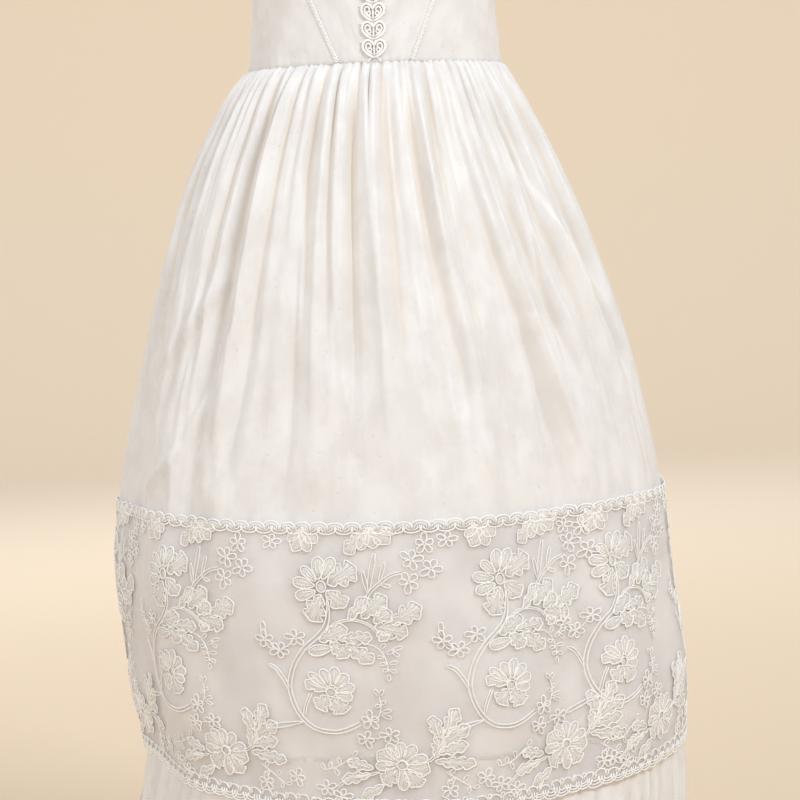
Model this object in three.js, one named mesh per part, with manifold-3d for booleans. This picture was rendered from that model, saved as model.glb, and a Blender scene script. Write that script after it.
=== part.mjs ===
// A baby's long christening gown, hollow as if worn, in millimetres with +Z up.
// Its front faces -Y, and the wearer's left is +X. The origin is the middle of the shoulder line.
import * as THREE from "three";
import { mergeVertices } from "three/addons/utils/BufferGeometryUtils.js";
import Module from "manifold-3d";

const wasm = await Module();
wasm.setup();

// Driving sizes
const WAIST_Z = -165; // waist seam below the shoulder line
const SILK = 1.6; // silk wall, measured straight through the cloth's base form
const NET = 1.0; // embroidered net wall
const SEAM = 0.3; // space between pieces that are sewn together
const LACE_TOP = 306; // drop of the lace band's upper edge below the waist, at the sides
const TOP_DIP = 8; // how much lower that edge hangs at the front and back
const LACE_EDGE = 480; // drop of its lower edge at the sides
const EDGE_DIP = 28; // how much lower that edge hangs at the front and back
const LACE_AIR = 0.4; // space between the skirt and the net over it
const CORD_BACK = LACE_AIR + NET + 0.8; // how far out the embroidery's back lies
const SKIRT_END = 470; // drop where the skirt is sewn to the flounce
const FLOUNCE_END = 635; // drop of the gown's hem
const GATHERS = 68; // gathers in the waist seam, all round
const FLOUNCE_WAVES = 84; // gathers in the flounce seam, all round
const HEADING_SCALLOPS = 76; // scallops in the lace's heading, all round
const BORDER_SCALLOPS = 104; // scallops in its lower border, all round

const rad = THREE.MathUtils.degToRad;
const deg = THREE.MathUtils.radToDeg;
const mix = THREE.MathUtils.lerp;
const ease = (x, from, to) => THREE.MathUtils.smoothstep(x, from, to);

// The skirt's cross sections: the ellipse at each drop below the waist, how far its centre
// sways to the wearer's left, and how deep the waist gathers still are there.
const SKIRT_RINGS = [
  { drop: 0, halfWidth: 91, halfDepth: 66, sway: 0, gather: 1.3 },
  { drop: 10, halfWidth: 98.5, halfDepth: 74, sway: -1.5, gather: 2.2 },
  { drop: 30, halfWidth: 111.5, halfDepth: 86, sway: -2.5, gather: 2.6 },
  { drop: 70, halfWidth: 132, halfDepth: 100, sway: -3, gather: 1.7 },
  { drop: 130, halfWidth: 155, halfDepth: 116, sway: -1.5, gather: 0.8 },
  { drop: 200, halfWidth: 175, halfDepth: 129, sway: 1.5, gather: 0.3 },
  { drop: 270, halfWidth: 191, halfDepth: 139.5, sway: 2.2, gather: 0 },
  { drop: 308, halfWidth: 196.5, halfDepth: 144, sway: 2.2, gather: 0 },
  { drop: 353, halfWidth: 199.5, halfDepth: 147, sway: 2, gather: 0 },
  { drop: 410, halfWidth: 200.5, halfDepth: 148, sway: 8, gather: 0 },
  { drop: 440, halfWidth: 200.5, halfDepth: 148, sway: 10.5, gather: 0 },
  { drop: 465, halfWidth: 197, halfDepth: 146.5, sway: 12.5, gather: 0 },
  { drop: 495, halfWidth: 194.5, halfDepth: 145, sway: 13, gather: 0 },
  { drop: 535, halfWidth: 197.5, halfDepth: 147, sway: 9, gather: 0 },
  { drop: 635, halfWidth: 203, halfDepth: 151, sway: 4, gather: 0 },
];

// The skirt's largest folds, each a valley that runs down from the waist. Turns are degrees
// round from the front towards the wearer's left, at the waist and at the lace.
const FOLDS = [
  { turn: -66, lowTurn: -70, depth: 8, width: 4.5, to: 330 },
  { turn: -42, lowTurn: -47, depth: 9, width: 4, to: 335 },
  { turn: -31, lowTurn: -36, depth: 6, width: 3.2, to: 270 },
  { turn: -21, lowTurn: -22, depth: 8, width: 3.6, to: 320 },
  { turn: -8, lowTurn: -9, depth: 6, width: 3, to: 240 },
  { turn: 6.5, lowTurn: 9, depth: 6, width: 3.2, to: 320 },
  { turn: 19, lowTurn: 14, depth: 6, width: 3.2, to: 290 },
  { turn: 30, lowTurn: 38, depth: 11, width: 4.6, to: 560 },
  { turn: 48, lowTurn: 46, depth: 6, width: 3.4, to: 230 },
  { turn: 66, lowTurn: 76, depth: 7, width: 4, to: 270 },
  { turn: 95, lowTurn: 97, depth: 6, width: 4, to: 310 },
  { turn: 109, lowTurn: 107, depth: 6, width: 4, to: 230 },
  { turn: 122, lowTurn: 125, depth: 8, width: 4.5, to: 325 },
  { turn: 137, lowTurn: 138, depth: 5, width: 3.5, to: 220 },
  { turn: 151, lowTurn: 147, depth: 9, width: 4.5, to: 335 },
  { turn: 166, lowTurn: 168, depth: 5, width: 3.5, to: 240 },
  { turn: 180, lowTurn: 182, depth: 8, width: 4, to: 320 },
  { turn: 195, lowTurn: 194, depth: 5, width: 3.5, to: 210 },
  { turn: 208, lowTurn: 212, depth: 8, width: 4.5, to: 325 },
  { turn: 223, lowTurn: 224, depth: 5, width: 3.5, to: 230 },
  { turn: 237, lowTurn: 235, depth: 7, width: 4, to: 300 },
  { turn: 252, lowTurn: 253, depth: 6, width: 4, to: 260 },
  { turn: 266, lowTurn: 265, depth: 5, width: 4, to: 280 },
];

// Where each spray of the lace stands, as a turn from the front. The deep fold at the front
// left takes up some of the cloth between the third and the fourth.
const SPRAY_TURNS = [-53, -15, 20, 47, 84, 122, 158, 194, 232, 270];

// The bodice's cross sections up to the underarm, above the waist. From there it domes over.
const TORSO_RINGS = [
  { rise: 0, halfWidth: 91, halfDepth: 66 },
  { rise: 20, halfWidth: 89, halfDepth: 64.5 },
  { rise: 49, halfWidth: 87, halfDepth: 63 },
  { rise: 90, halfWidth: 88, halfDepth: 62 },
];
const CHEST = 90; // rise of the underarm
const DOME = 78; // height of the dome above it
const DOME_SPREAD = 4; // how much wider the shoulders are than the chest
const SHOULDER_SLOPE = 10; // how far the shoulder falls out to the chest's half width
const RIDGE = 180; // the girth value of the shoulder seam, 90 past the underarm

// How far out the front panel's side edge lies: up the slanting seam, then up the armhole.
const FRONT_EDGE = [
  { rise: 0, out: 25 },
  { rise: 60, out: 48.6 },
  { rise: 118, out: 71 },
  { rise: 134, out: 73.5 },
  { rise: 148, out: 77.5 },
  { rise: 168, out: 83 },
];
// The same for the back armhole, from the underarm up.
const BACK_EDGE = [
  { rise: 88, out: 87.9 },
  { rise: 98, out: 80 },
  { rise: 115, out: 75 },
  { rise: 140, out: 76 },
  { rise: 168, out: 83 },
];
const NECK_SHARE = 0.5; // where the neckline meets the shoulder, as a share of a panel's width
const FRONT_NECK = 115; // girth value at the front neckline's middle
const BACK_NECK = 140; // girth value at the back neckline's middle

// A smooth curve through one column of a table, by the table's first column.
function read(table, at, column) {
  const key = Object.keys(table[0])[0];
  const last = table.length - 1;
  const x = THREE.MathUtils.clamp(at, table[0][key], table[last][key]);
  const i = Math.max(0, table.slice(0, last).findLastIndex((row) => row[key] <= x));
  const [a, b] = [table[i], table[i + 1]];
  const slope = (j) => {
    const [p, q] = [table[Math.max(0, j - 1)], table[Math.min(last, j + 1)]];
    return (q[column] - p[column]) / (q[key] - p[key]);
  };
  const step = b[key] - a[key];
  const t = (x - a[key]) / step;
  const [t2, t3] = [t * t, t * t * t];
  return (
    (2 * t3 - 3 * t2 + 1) * a[column] +
    (t3 - 2 * t2 + t) * step * slope(i) +
    (3 * t2 - 2 * t3) * b[column] +
    (t3 - t2) * step * slope(i + 1)
  );
}

// The outward normal of a surface function of (turn, height).
function normalOf(surface, turn, height) {
  const d = 0.5;
  const across = surface(turn + d, height).sub(surface(turn - d, height));
  const up = surface(turn, height + d).sub(surface(turn, height - d));
  return across.cross(up).normalize();
}

// Makes closed geometry from triangles, and turns it to face out if it faces in.
function closed(points, faces) {
  const volume = faces.reduce((sum, [a, b, c]) => {
    const [p, q, r] = [points[a], points[b], points[c]];
    return sum + p.dot(q.clone().cross(r));
  }, 0);
  const order = volume < 0 ? ([a, b, c]) => [a, c, b] : (f) => f;
  return new THREE.BufferGeometry()
    .setAttribute("position", new THREE.Float32BufferAttribute(points.flatMap((p) => p.toArray()), 3))
    .setIndex(faces.flatMap(order));
}

// Triangles between two rows of point numbers. The lower row may have half as many columns.
function strip(upper, lower) {
  const step = (upper.length - 1) / (lower.length - 1);
  return lower.slice(1).flatMap((d, j) => {
    const [a, m, b] = [upper[j * step], upper[j * step + 1], upper[(j + 1) * step]];
    const c = lower[j];
    return step === 1 ? [[a, c, d], [a, d, b]] : [[a, c, m], [m, c, d], [m, d, b]];
  });
}

// A wall between two grids of points, outer[row][column] and inner[row][column], with its rims.
function wall(outer, inner) {
  let count = 0;
  const number = (grid) => grid.map((row) => row.map(() => count++));
  const [out, back] = [number(outer), number(inner)];
  const last = out.length - 1;
  const ends = (grid, at) => grid.map((row) => row.at(at));
  const faces = [];
  for (let i = 0; i < last; i++) {
    faces.push(...strip(out[i], out[i + 1]));
    faces.push(...strip(back[i], back[i + 1]).map(([a, b, c]) => [a, c, b]));
  }
  faces.push(...strip(back[0], out[0]), ...strip(out[last], back[last]));
  faces.push(...strip(ends(out, 0), ends(back, 0)), ...strip(ends(back, -1), ends(out, -1)));
  return closed([...outer.flat(), ...inner.flat()], faces);
}

// A solid swept through rings of points, each ring the same count of corners in order.
function swept(rings, isLoop = false) {
  const corners = rings[0].length;
  const points = rings.flat();
  const faces = [];
  const last = isLoop ? rings.length : rings.length - 1;
  for (let i = 0; i < last; i++) {
    const next = (i + 1) % rings.length;
    for (let k = 0; k < corners; k++) {
      const [a, b] = [i * corners + k, i * corners + ((k + 1) % corners)];
      const [c, d] = [next * corners + ((k + 1) % corners), next * corners + k];
      faces.push([a, b, c], [a, c, d]);
    }
  }
  if (!isLoop) {
    const end = (rings.length - 1) * corners;
    for (let k = 1; k < corners - 1; k++) {
      faces.push([0, k + 1, k], [end, end + k, end + k + 1]);
    }
  }
  return closed(points, faces);
}

const range = (from, to, steps) =>
  Array.from({ length: steps + 1 }, (_, i) => mix(from, to, i / steps));

// A repeatable unevenness from -1 to 1 for gather or wave number k.
const uneven = (k, seed) => Math.sin(k * 2.399 + seed) * 0.6 + Math.sin(k * 4.71 + seed * 3) * 0.4;

// The valleys' depth at a place on the skirt.
function folds(turn, drop) {
  return FOLDS.reduce((sum, fold) => {
    const middle = mix(fold.turn, fold.lowTurn, ease(drop, 60, 320));
    const off = ((((turn - middle) % 360) + 540) % 360) - 180;
    const strength = ease(drop, -10, 55) * (1 - ease(drop, fold.to - 130, fold.to));
    const spread = 1 + 0.9 * ease(drop, 180, 330);
    return sum - (fold.depth / spread) * strength * Math.exp(-((off / fold.width / spread) ** 2));
  }, 0);
}

// The skirt's slow swells, which grow towards the lace.
function swells(turn, drop) {
  const grown = ease(drop, 90, 300);
  return grown * (2.4 * Math.sin(rad(turn * 7 + 40)) + 1.5 * Math.sin(rad(turn * 11 - 25)));
}

const skirtBase = (turn, drop) =>
  new THREE.Vector3(
    read(SKIRT_RINGS, drop, "sway") + read(SKIRT_RINGS, drop, "halfWidth") * Math.sin(rad(turn)),
    -read(SKIRT_RINGS, drop, "halfDepth") * Math.cos(rad(turn)),
    WAIST_Z - drop,
  );

// A point of the skirt's form, moved out by some millimetres.
function onSkirt(turn, drop, out) {
  const move = out + folds(turn, drop) + swells(turn, drop);
  const normal = normalOf((t, height) => skirtBase(t, -height), turn, -drop);
  const p = skirtBase(turn, drop).addScaledVector(normal, move);
  p.z = Math.min(p.z, WAIST_Z);
  return p;
}

// Turns for the columns of a half tube about the middle turn, a seam's space short of each end.
function halfTurns(middle, steps, halfDepth) {
  const trim = deg(SEAM / 2 / halfDepth);
  return range(middle - 90, middle + 90, steps).map((turn, i) =>
    i === 0 ? turn + trim : i === steps ? turn - trim : turn,
  );
}

const laceTop = (turn) => LACE_TOP + TOP_DIP * Math.cos(rad(turn)) ** 2;
const laceEdge = (turn) => LACE_EDGE + EDGE_DIP * Math.abs(Math.cos(rad(turn))) ** 1.3;
const laceLow = (turn) => mix(SKIRT_END, laceEdge(turn), 0.5);

// A row of a sheet lies at a fixed drop, or follows one of the lace's edges round the skirt.
const dropAt = (drop, turn) => (typeof drop === "function" ? drop(turn) : drop);

const GATHERED_DROPS = [0, 10, 30, 70, 145]; // rows with every gather in them
const LACE_DROPS = [357, 430]; // drops where the skirt and the net over it both bend

// Half of the gathered silk skirt: a zigzag of gathers that dies away down the folds. Below
// the gathers it needs half as many columns.
function skirtHalf(middle) {
  const columns = halfTurns(middle, GATHERS, 66);
  const grid = (out) =>
    [...GATHERED_DROPS, 265, laceTop, ...LACE_DROPS, SKIRT_END].map((drop) => {
      const row = columns.map((turn, j) => {
        const at = dropAt(drop, turn);
        const gather = read(SKIRT_RINGS, at, "gather") * (1 + 0.35 * uneven(j + middle, 1));
        return onSkirt(turn, at, out + (j % 2 ? gather : -gather));
      });
      return GATHERED_DROPS.includes(drop) ? row : row.filter((_, j) => j % 2 === 0);
    });
  return wall(grid(0), grid(-SILK));
}


// Half of the embroidered net over the skirt.
function laceHalf(middle) {
  const columns = halfTurns(middle, GATHERS / 2, 145);
  const grid = (out) =>
    [laceTop, ...LACE_DROPS, SKIRT_END, laceLow, laceEdge].map((drop) =>
      columns.map((turn) => onSkirt(turn, dropAt(drop, turn), out)),
    );
  return wall(grid(LACE_AIR + NET), grid(LACE_AIR));
}

const belowLace = (turn) => laceEdge(turn) + 3;

// The flounce's form: tucked under the lace edge, then swelling out below it.
function onFlounce(turn, drop, wave, out) {
  const clear = ease(drop, laceEdge(turn) - 4, laceEdge(turn) + 24);
  const depth = mix(1.6, 3, clear) * mix(1, 0.6, ease(drop, 540, FLOUNCE_END));
  return onSkirt(turn, drop, out + mix(-3.4, 0.5, clear) + wave * depth);
}

// Half of the gathered flounce. Its waves are sharp at its seam and soften to the hem.
function flounceHalf(middle) {
  const columns = halfTurns(middle, FLOUNCE_WAVES, 145);
  const grid = (out) =>
    [SKIRT_END + SEAM, belowLace, FLOUNCE_END].map((drop) =>
      columns.map((turn, j) => {
        const wave = (j % 2 ? 1 : -1) * (1 + 0.4 * uneven(j + middle, 4));
        return onFlounce(turn, dropAt(drop, turn), wave, out);
      }),
    );
  return wall(grid(0), grid(-SILK));
}

// Half of a scalloped lace edging, its flat back just clear of the net: upper edge, raised
// middle and lower edge, with the lower edge moving in and out once for each scallop.
function edgingHalf(middle, scallops, { topAt, height, scallop, raised }) {
  const columns = halfTurns(middle, scallops, 145);
  return swept(
    columns.map((turn, j) => {
      const high = topAt(turn) - (j % 2 ? scallop / 2 : 0);
      const low = topAt(turn) + height + (j % 2 ? scallop : 0);
      return [
        onSkirt(turn, high, CORD_BACK),
        onSkirt(turn, (low + high) / 2, CORD_BACK + raised),
        onSkirt(turn, low, CORD_BACK),
      ];
    }),
  );
}

const FLAT_TURN = 0.325; // degrees of turn in a millimetre across
const FLAT_FOOT = 8; // how far above the lace's lower edge the drawing's foot stands
const FLAT_HEIGHT = 190; // height of the lace in the drawing

// A place on the lace of a spray drawn flat: across in millimetres, and height above its foot.

function onLace([across, up], spray, out) {
  const turn = SPRAY_TURNS[spray] + across * FLAT_TURN;
  const height = (up + FLAT_FOOT) / FLAT_HEIGHT;
  return onSkirt(turn, mix(laceEdge(turn), laceTop(turn), height), CORD_BACK + out);
}

// A flower as a plate with pointed petals, a fan about its middle.
function flower([x, y], radius, petals, spray) {
  const outline = range(0, 360, petals * 2).slice(1).map((turn, k) => {
    const reach = radius * (k % 2 ? 1 : 0.68);
    return [x + reach * Math.cos(rad(turn)), y + reach * Math.sin(rad(turn))];
  });
  const side = (out) => [[x, y], ...outline].map((place) => onLace(place, spray, out));
  const under = outline.length + 1;
  const faces = outline.flatMap((_, k) => {
    const [a, b] = [1 + k, 1 + ((k + 1) % outline.length)];
    return [[0, a, b], [under, under + b, under + a], [a, under + a, b], [b, under + a, under + b]];
  });
  return closed([...side(1.8), ...side(0)], faces);
}

// A stem or leaf along a route of [across, up, half width], with a ridge down its middle.
function ribbon(route, steps, spray) {
  const line = new THREE.CatmullRomCurve3(route.map((row) => new THREE.Vector3(...row)));
  return swept(
    range(0, 1, steps).map((t) => {
      const [place, along] = [line.getPoint(t), line.getTangent(t)];
      const [u, v] = new THREE.Vector2(-along.y, along.x).setLength(place.z).toArray();
      return [
        onLace([place.x + u, place.y + v], spray, 0.3),
        onLace([place.x, place.y], spray, 1.5),
        onLace([place.x - u, place.y - v], spray, 0.3),
      ];
    }),
  );
}

function toSolid(geometry) {
  const bare = geometry.clone();
  bare.deleteAttribute("normal");
  bare.deleteAttribute("uv");
  const merged = mergeVertices(bare, 1e-4);
  return new wasm.Manifold(
    new wasm.Mesh({
      numProp: 3,
      vertProperties: merged.attributes.position.array,
      triVerts: new Uint32Array(merged.index.array),
    }),
  );
}

function joined(geometries) {
  const mesh = geometries.map(toSolid).reduce((a, b) => a.add(b)).getMesh();
  return new THREE.BufferGeometry()
    .setAttribute("position", new THREE.BufferAttribute(new Float32Array(mesh.vertProperties), 3))
    .setIndex(new THREE.BufferAttribute(new Uint32Array(mesh.triVerts), 1));
}

// A spray: two flowers joined by a scrolling stem, with a leaf on each side of it.
const SCROLL = [[-3, 144, 1.6], [-2, 126, 1.8], [-17, 106, 2], [-25, 80, 2.2], [-15, 58, 2.4],
  [5, 50, 2.2], [24, 58, 4]];
const SMALL_LEAF = [[-36, 96, 1], [-26, 84, 4], [-7, 77, 1.6]];
const LOBED_LEAF = [[-16, 106, 1.6], [12, 110, 6], [30, 112, 7], [46, 101, 1]];

const mainSpray = (spray) =>
  joined([
    flower([-3, 147], 20, 8, spray),
    flower([3, 77], 17, 7, spray),
    ribbon(SCROLL, 8, spray),
    ribbon(SMALL_LEAF, 2, spray),
    ribbon(LOBED_LEAF, 4, spray),
  ]);

// The border's spray beside a large one: a flower with a leaf reaching to each side.
const BORDER_LEAVES = [[8, 34, 1], [22, 38, 5], [38, 31, 2], [52, 44, 5.5], [64, 60, 1]];

const borderSpray = (spray) =>
  joined([flower([38, 31], 15, 7, spray), ribbon(BORDER_LEAVES, 4, spray)]);

// The bodice's form. Girth runs up from the waist: it is the rise up to the chest, and past it
// the angle of the dome over the shoulders.
function torso(turn, girth) {
  const dome = rad(Math.max(0, girth - CHEST));
  const rise = Math.min(girth, CHEST);
  const halfWidth = read(TORSO_RINGS, rise, "halfWidth") + DOME_SPREAD * Math.sin(dome);
  const halfDepth = read(TORSO_RINGS, rise, "halfDepth") * Math.cos(dome);
  const x = halfWidth * Math.sin(rad(turn));
  const fall = SHOULDER_SLOPE * (x / 88) ** 2 * Math.sin(dome);
  const y = -halfDepth * Math.cos(rad(turn));
  return new THREE.Vector3(x, y, WAIST_Z + rise + DOME * Math.sin(dome) - fall);
}

const riseOf = (girth) =>
  Math.min(girth, CHEST) + DOME * Math.sin(rad(Math.max(0, girth - CHEST)));
const halfWidthOf = (girth) => torso(90, girth).x;

function onTorso(turn, girth, out) {
  const p = torso(turn, girth).addScaledVector(normalOf(torso, turn, girth), out);
  const isFront = Math.cos(rad(turn)) > 0;
  p.y = isFront ? Math.min(p.y, -SEAM / 2) : Math.max(p.y, SEAM / 2);
  return p;
}

const outTurn = (table, girth) =>
  deg(Math.asin(Math.min(1, read(table, riseOf(girth), "out") / halfWidthOf(girth))));
const frontEdge = (girth) => outTurn(FRONT_EDGE, girth);
const backEdge = (girth) => 180 - (girth <= 88 ? 90 : outTurn(BACK_EDGE, girth));
const SEAM_TURN = 0.1; // half a seam's space, as a turn of the bodice
const SEAM_TOP = 111; // girth value where the slanting seam ends at the armhole
const UNDERARM = 88;

const backNeckShare = () => {
  const seam = 180 - NECK_SHARE * frontEdge(RIDGE);
  return (seam - backEdge(RIDGE)) / (180 + OVERLAP - backEdge(RIDGE));
};

const frontTop = (share) =>
  Math.abs(share) >= NECK_SHARE
    ? RIDGE
    : mix(FRONT_NECK, RIDGE, (Math.abs(share) / NECK_SHARE) ** 2.2);
const backTop = (share) =>
  mix(BACK_NECK, RIDGE, Math.min(1, (1 - share) / (1 - backNeckShare())) ** 2.2);
const armholeTop = (share) => mix(UNDERARM, SEAM_TOP, (1 - share) ** 2);

// A bodice panel on a grid of shares across and up, from its turn and its top girth.
function bodicePanel(shares, rows, turnAt, topAt, liftAt = () => 0) {
  const grid = (out) =>
    range(0, 1, rows).map((up) =>
      shares.map((share) => {
        const girth = mix(SEAM, topAt(share), up);
        return onTorso(turnAt(share, girth), girth, out + liftAt(share));
      }),
    );
  return wall(grid(0), grid(-SILK));
}

// Shares across the panels, and the rows that reach the shoulder. The bindings use them too.
const HALF_NECK = [0.1, 0.21, 0.32, 0.42, NECK_SHARE];
const FRONT_NECK_SHARES = [...HALF_NECK.map((share) => -share).reverse(), 0, ...HALF_NECK];
const SIDE_SHARES = range(0, 1, 5);
const backNeckShares = () => range(backNeckShare(), 1, 6);
const PANEL_ROWS = 8;
const armholeGirths = (from) => range(SEAM, RIDGE, PANEL_ROWS).filter((girth) => girth > from);

const frontCentre = () =>
  bodicePanel(
    [-1, -0.75, ...FRONT_NECK_SHARES, 0.75, 1],
    PANEL_ROWS,
    (share, girth) => share * (frontEdge(girth) - SEAM_TURN),
    frontTop,
  );

const frontSide = (side) =>
  bodicePanel(
    SIDE_SHARES,
    6,
    (share, girth) => side * mix(frontEdge(girth) + SEAM_TURN, 90 - SEAM_TURN, share),
    armholeTop,
  );

const OVERLAP = 7; // how far each back edge passes the middle, as a turn
const OVERLAP_LIFT = 3.2; // how far the upper edge stands off the lower one

const backLift = (side, share) => (side < 0 ? OVERLAP_LIFT * ease(share, 0.6, 0.74) : 0);

const back = (side) =>
  bodicePanel(
    [0, backNeckShare() / 2, ...backNeckShares()],
    PANEL_ROWS,
    (share, girth) => side * mix(backEdge(girth) + SEAM_TURN, 180 + OVERLAP, share),
    backTop,
    (share) => backLift(side, share),
  );

// A narrow binding that wraps past a cloth edge. Each stop is a point on the edge and the
// cloth's normal there.
function binding(stops, towards, isLoop) {
  const [height, half] = [3, 1.4];
  const count = stops.length;
  return swept(
    stops.map(({ point, normal }, i) => {
      const before = stops[isLoop ? (i + count - 1) % count : Math.max(0, i - 1)].point;
      const after = stops[isLoop ? (i + 1) % count : Math.min(count - 1, i + 1)].point;
      const along = after.clone().sub(before).normalize();
      const past = along.cross(normal).normalize();
      if (past.dot(towards.clone().sub(point)) < 0) past.negate();
      const corner = (reach, out) =>
        point.clone().addScaledVector(past, reach).addScaledVector(normal, out);
      return [
        corner(SEAM, half),
        corner(SEAM + height, half),
        corner(SEAM + height, -half),
        corner(SEAM, -half),
      ];
    }),
    isLoop,
  );
}

// The middle of the cloth's thickness at a place on the bodice.
function edgeStop(turn, girth, lift = 0) {
  const normal = normalOf(torso, turn, girth);
  return { point: torso(turn, girth).addScaledVector(normal, lift - SILK / 2), normal };
}

const NEAR_SEAM = 0.97; // how near the neck binding's stops come to the shoulder seam

function neckBinding() {
  const front = FRONT_NECK_SHARES.map((share) => {
    const near = share * (Math.abs(share) === NECK_SHARE ? NEAR_SEAM : 1);
    const girth = frontTop(near);
    return edgeStop(near * frontEdge(girth), girth);
  });
  const backSide = (side) =>
    backNeckShares().map((share, i) => {
      const near = i ? share : 1 - NEAR_SEAM * (1 - share);
      const girth = backTop(near);
      const turn = side * mix(backEdge(girth), 180 + OVERLAP, near);
      return edgeStop(turn, girth, backLift(side, near));
    });
  const stops = [...backSide(-1).reverse(), ...front, ...backSide(1)];
  return binding(stops, new THREE.Vector3(0, 0, 20), false);
}

const ARMHOLE_TOP = RIDGE - 1.5; // girth value of the armhole binding's highest stops

function armholeBinding(side) {
  const sideStops = SIDE_SHARES.slice(1).reverse().map((share) => {
    const girth = armholeTop(share);
    return edgeStop(side * mix(frontEdge(girth), 90, share), girth);
  });
  const edgeStops = (from, edge) =>
    armholeGirths(from).map((girth) => edgeStop(side * edge(girth), Math.min(girth, ARMHOLE_TOP)));
  const stops = [
    ...sideStops,
    ...edgeStops(SEAM_TOP, frontEdge),
    ...edgeStops(UNDERARM, backEdge).reverse(),
  ];
  return binding(stops, new THREE.Vector3(side * 150, 0, -38), true);
}

// The openwork insertion over a slanting bodice seam, as a low strip.
function insertion(side) {
  const [half, low, high] = [1.5, 0.4, 1.2];
  return swept(
    range(1.5, SEAM_TOP - 3, 10).map((girth) => {
      const spread = deg(half / halfWidthOf(girth)) * 1.2;
      const at = (s, out) => onTorso(side * (frontEdge(girth) + s * spread), girth, out);
      return [at(-1, high), at(1, high), at(1, low), at(-1, low)];
    }),
  );
}

const HEARTS = 9;
const HEART_PITCH = 12.6;
const HEART_WIDTH = 16.6;
const HEART_START = 4; // rise of the lowest heart's point
const HEART_AIR = 0.9; // space behind the trim, which is flat across between its points

// One openwork heart, drawn flat, with two gaps cut through it.
function heart(row) {
  const [w, tall, base] = [HEART_WIDTH / 2, HEART_PITCH + 1, HEART_START + row * HEART_PITCH];
  const shape = new THREE.Shape();
  shape.moveTo(0, base);
  shape.bezierCurveTo(w * 0.7, base + 3.2, w, base + 5, w, base + 8.6);
  shape.bezierCurveTo(w, base + tall - 1.2, w * 0.35, base + tall, 0, base + tall - 0.7);
  shape.bezierCurveTo(-w * 0.35, base + tall, -w, base + tall - 1.2, -w, base + 8.6);
  shape.bezierCurveTo(-w, base + 5, -w * 0.7, base + 3.2, 0, base);
  for (const side of [-1, 1]) {
    const gap = new THREE.Path();
    gap.absellipse(side * 3.7, base + 7.9, 2.1, 2.6, 0, 2 * Math.PI, false, side * 0.5);
    shape.holes.push(gap);
  }
  return new THREE.ExtrudeGeometry(shape, { depth: 1.2, bevelEnabled: false, curveSegments: 2 });
}

const girthAt = (rise) =>
  rise <= CHEST ? rise : CHEST + deg(Math.asin(Math.min(1, (rise - CHEST) / DOME)));

// The hearts joined in a chain and laid on the bodice's front.
function heartTrim() {
  const chain = joined(Array.from({ length: HEARTS }, (_, row) => heart(row)));
  const place = chain.getAttribute("position");
  for (let i = 0; i < place.count; i++) {
    const girth = girthAt(place.getY(i));
    const turn = deg(Math.asin(place.getX(i) / halfWidthOf(girth)));
    onTorso(turn, girth, HEART_AIR + place.getZ(i)).toArray(place.array, 3 * i);
  }
  return chain;
}

const BUTTONS = 4;
const BUTTON_RADIUS = 4.5;

// A small domed button on the upper back edge.
function button(row) {
  const profile = [
    [0, 0], [3, 0], [BUTTON_RADIUS, 1.4], [2.8, 3], [0, 3.4],
  ].map(([r, y]) => new THREE.Vector2(r, y));
  const mesh = new THREE.Mesh(new THREE.LatheGeometry(profile, 8));
  const girth = mix(SEAM, BACK_NECK, (2 * row + 1) / PANEL_ROWS);
  mesh.position.copy(onTorso(180, girth, OVERLAP_LIFT + SEAM + 0.2));
  mesh.quaternion.setFromUnitVectors(new THREE.Vector3(0, 1, 0), normalOf(torso, 180, girth));
  return mesh;
}

const finish = (color, roughness) => new THREE.MeshStandardMaterial({ color, roughness, metalness: 0 });
const silk = finish("#ece7e2", 0.6);
const net = finish("#dcd3cb", 0.85);
const thread = finish("#f6f3f0", 0.7);
const pearl = finish("#f2ece4", 0.3);

const gown = new THREE.Group();
function add(name, shape, material) {
  const mesh = shape.isMesh ? shape : new THREE.Mesh(shape);
  mesh.name = name;
  mesh.material = material;
  gown.add(mesh);
}

add("bodice_front_centre", frontCentre(), silk);
add("bodice_front_side_left", frontSide(1), silk);
add("bodice_front_side_right", frontSide(-1), silk);
add("bodice_back_left", back(1), silk);
add("bodice_back_right", back(-1), silk);
add("insertion_left", insertion(1), thread);
add("insertion_right", insertion(-1), thread);
add("heart_trim", heartTrim(), thread);
add("neck_binding", neckBinding(), silk);
add("armhole_binding_left", armholeBinding(1), silk);
add("armhole_binding_right", armholeBinding(-1), silk);
for (let row = 0; row < BUTTONS; row++) {
  add(`button_${row + 1}`, button(row), pearl);
}
const heading = { topAt: (turn) => laceTop(turn) - 5, height: 9, scallop: 2.4, raised: 1.4 };
const border = { topAt: (turn) => laceEdge(turn) - 11, height: 12, scallop: 3, raised: 1.8 };
for (const [where, middle] of [["front", 0], ["back", 180]]) {
  add(`skirt_${where}`, skirtHalf(middle), silk);
  add(`flounce_${where}`, flounceHalf(middle), silk);
  add(`lace_${where}`, laceHalf(middle), net);
  add(`lace_heading_${where}`, edgingHalf(middle, HEADING_SCALLOPS, heading), thread);
  add(`lace_border_${where}`, edgingHalf(middle, BORDER_SCALLOPS, border), thread);
}
SPRAY_TURNS.forEach((_, spray) => {
  const number = String(spray + 1).padStart(2, "0");
  add(`spray_${number}`, mainSpray(spray), thread);
  add(`border_spray_${number}`, borderSpray(spray), thread);
});

export default gown;
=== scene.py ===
import math
import bpy
import numpy as np
from mathutils import Matrix, Vector


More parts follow.
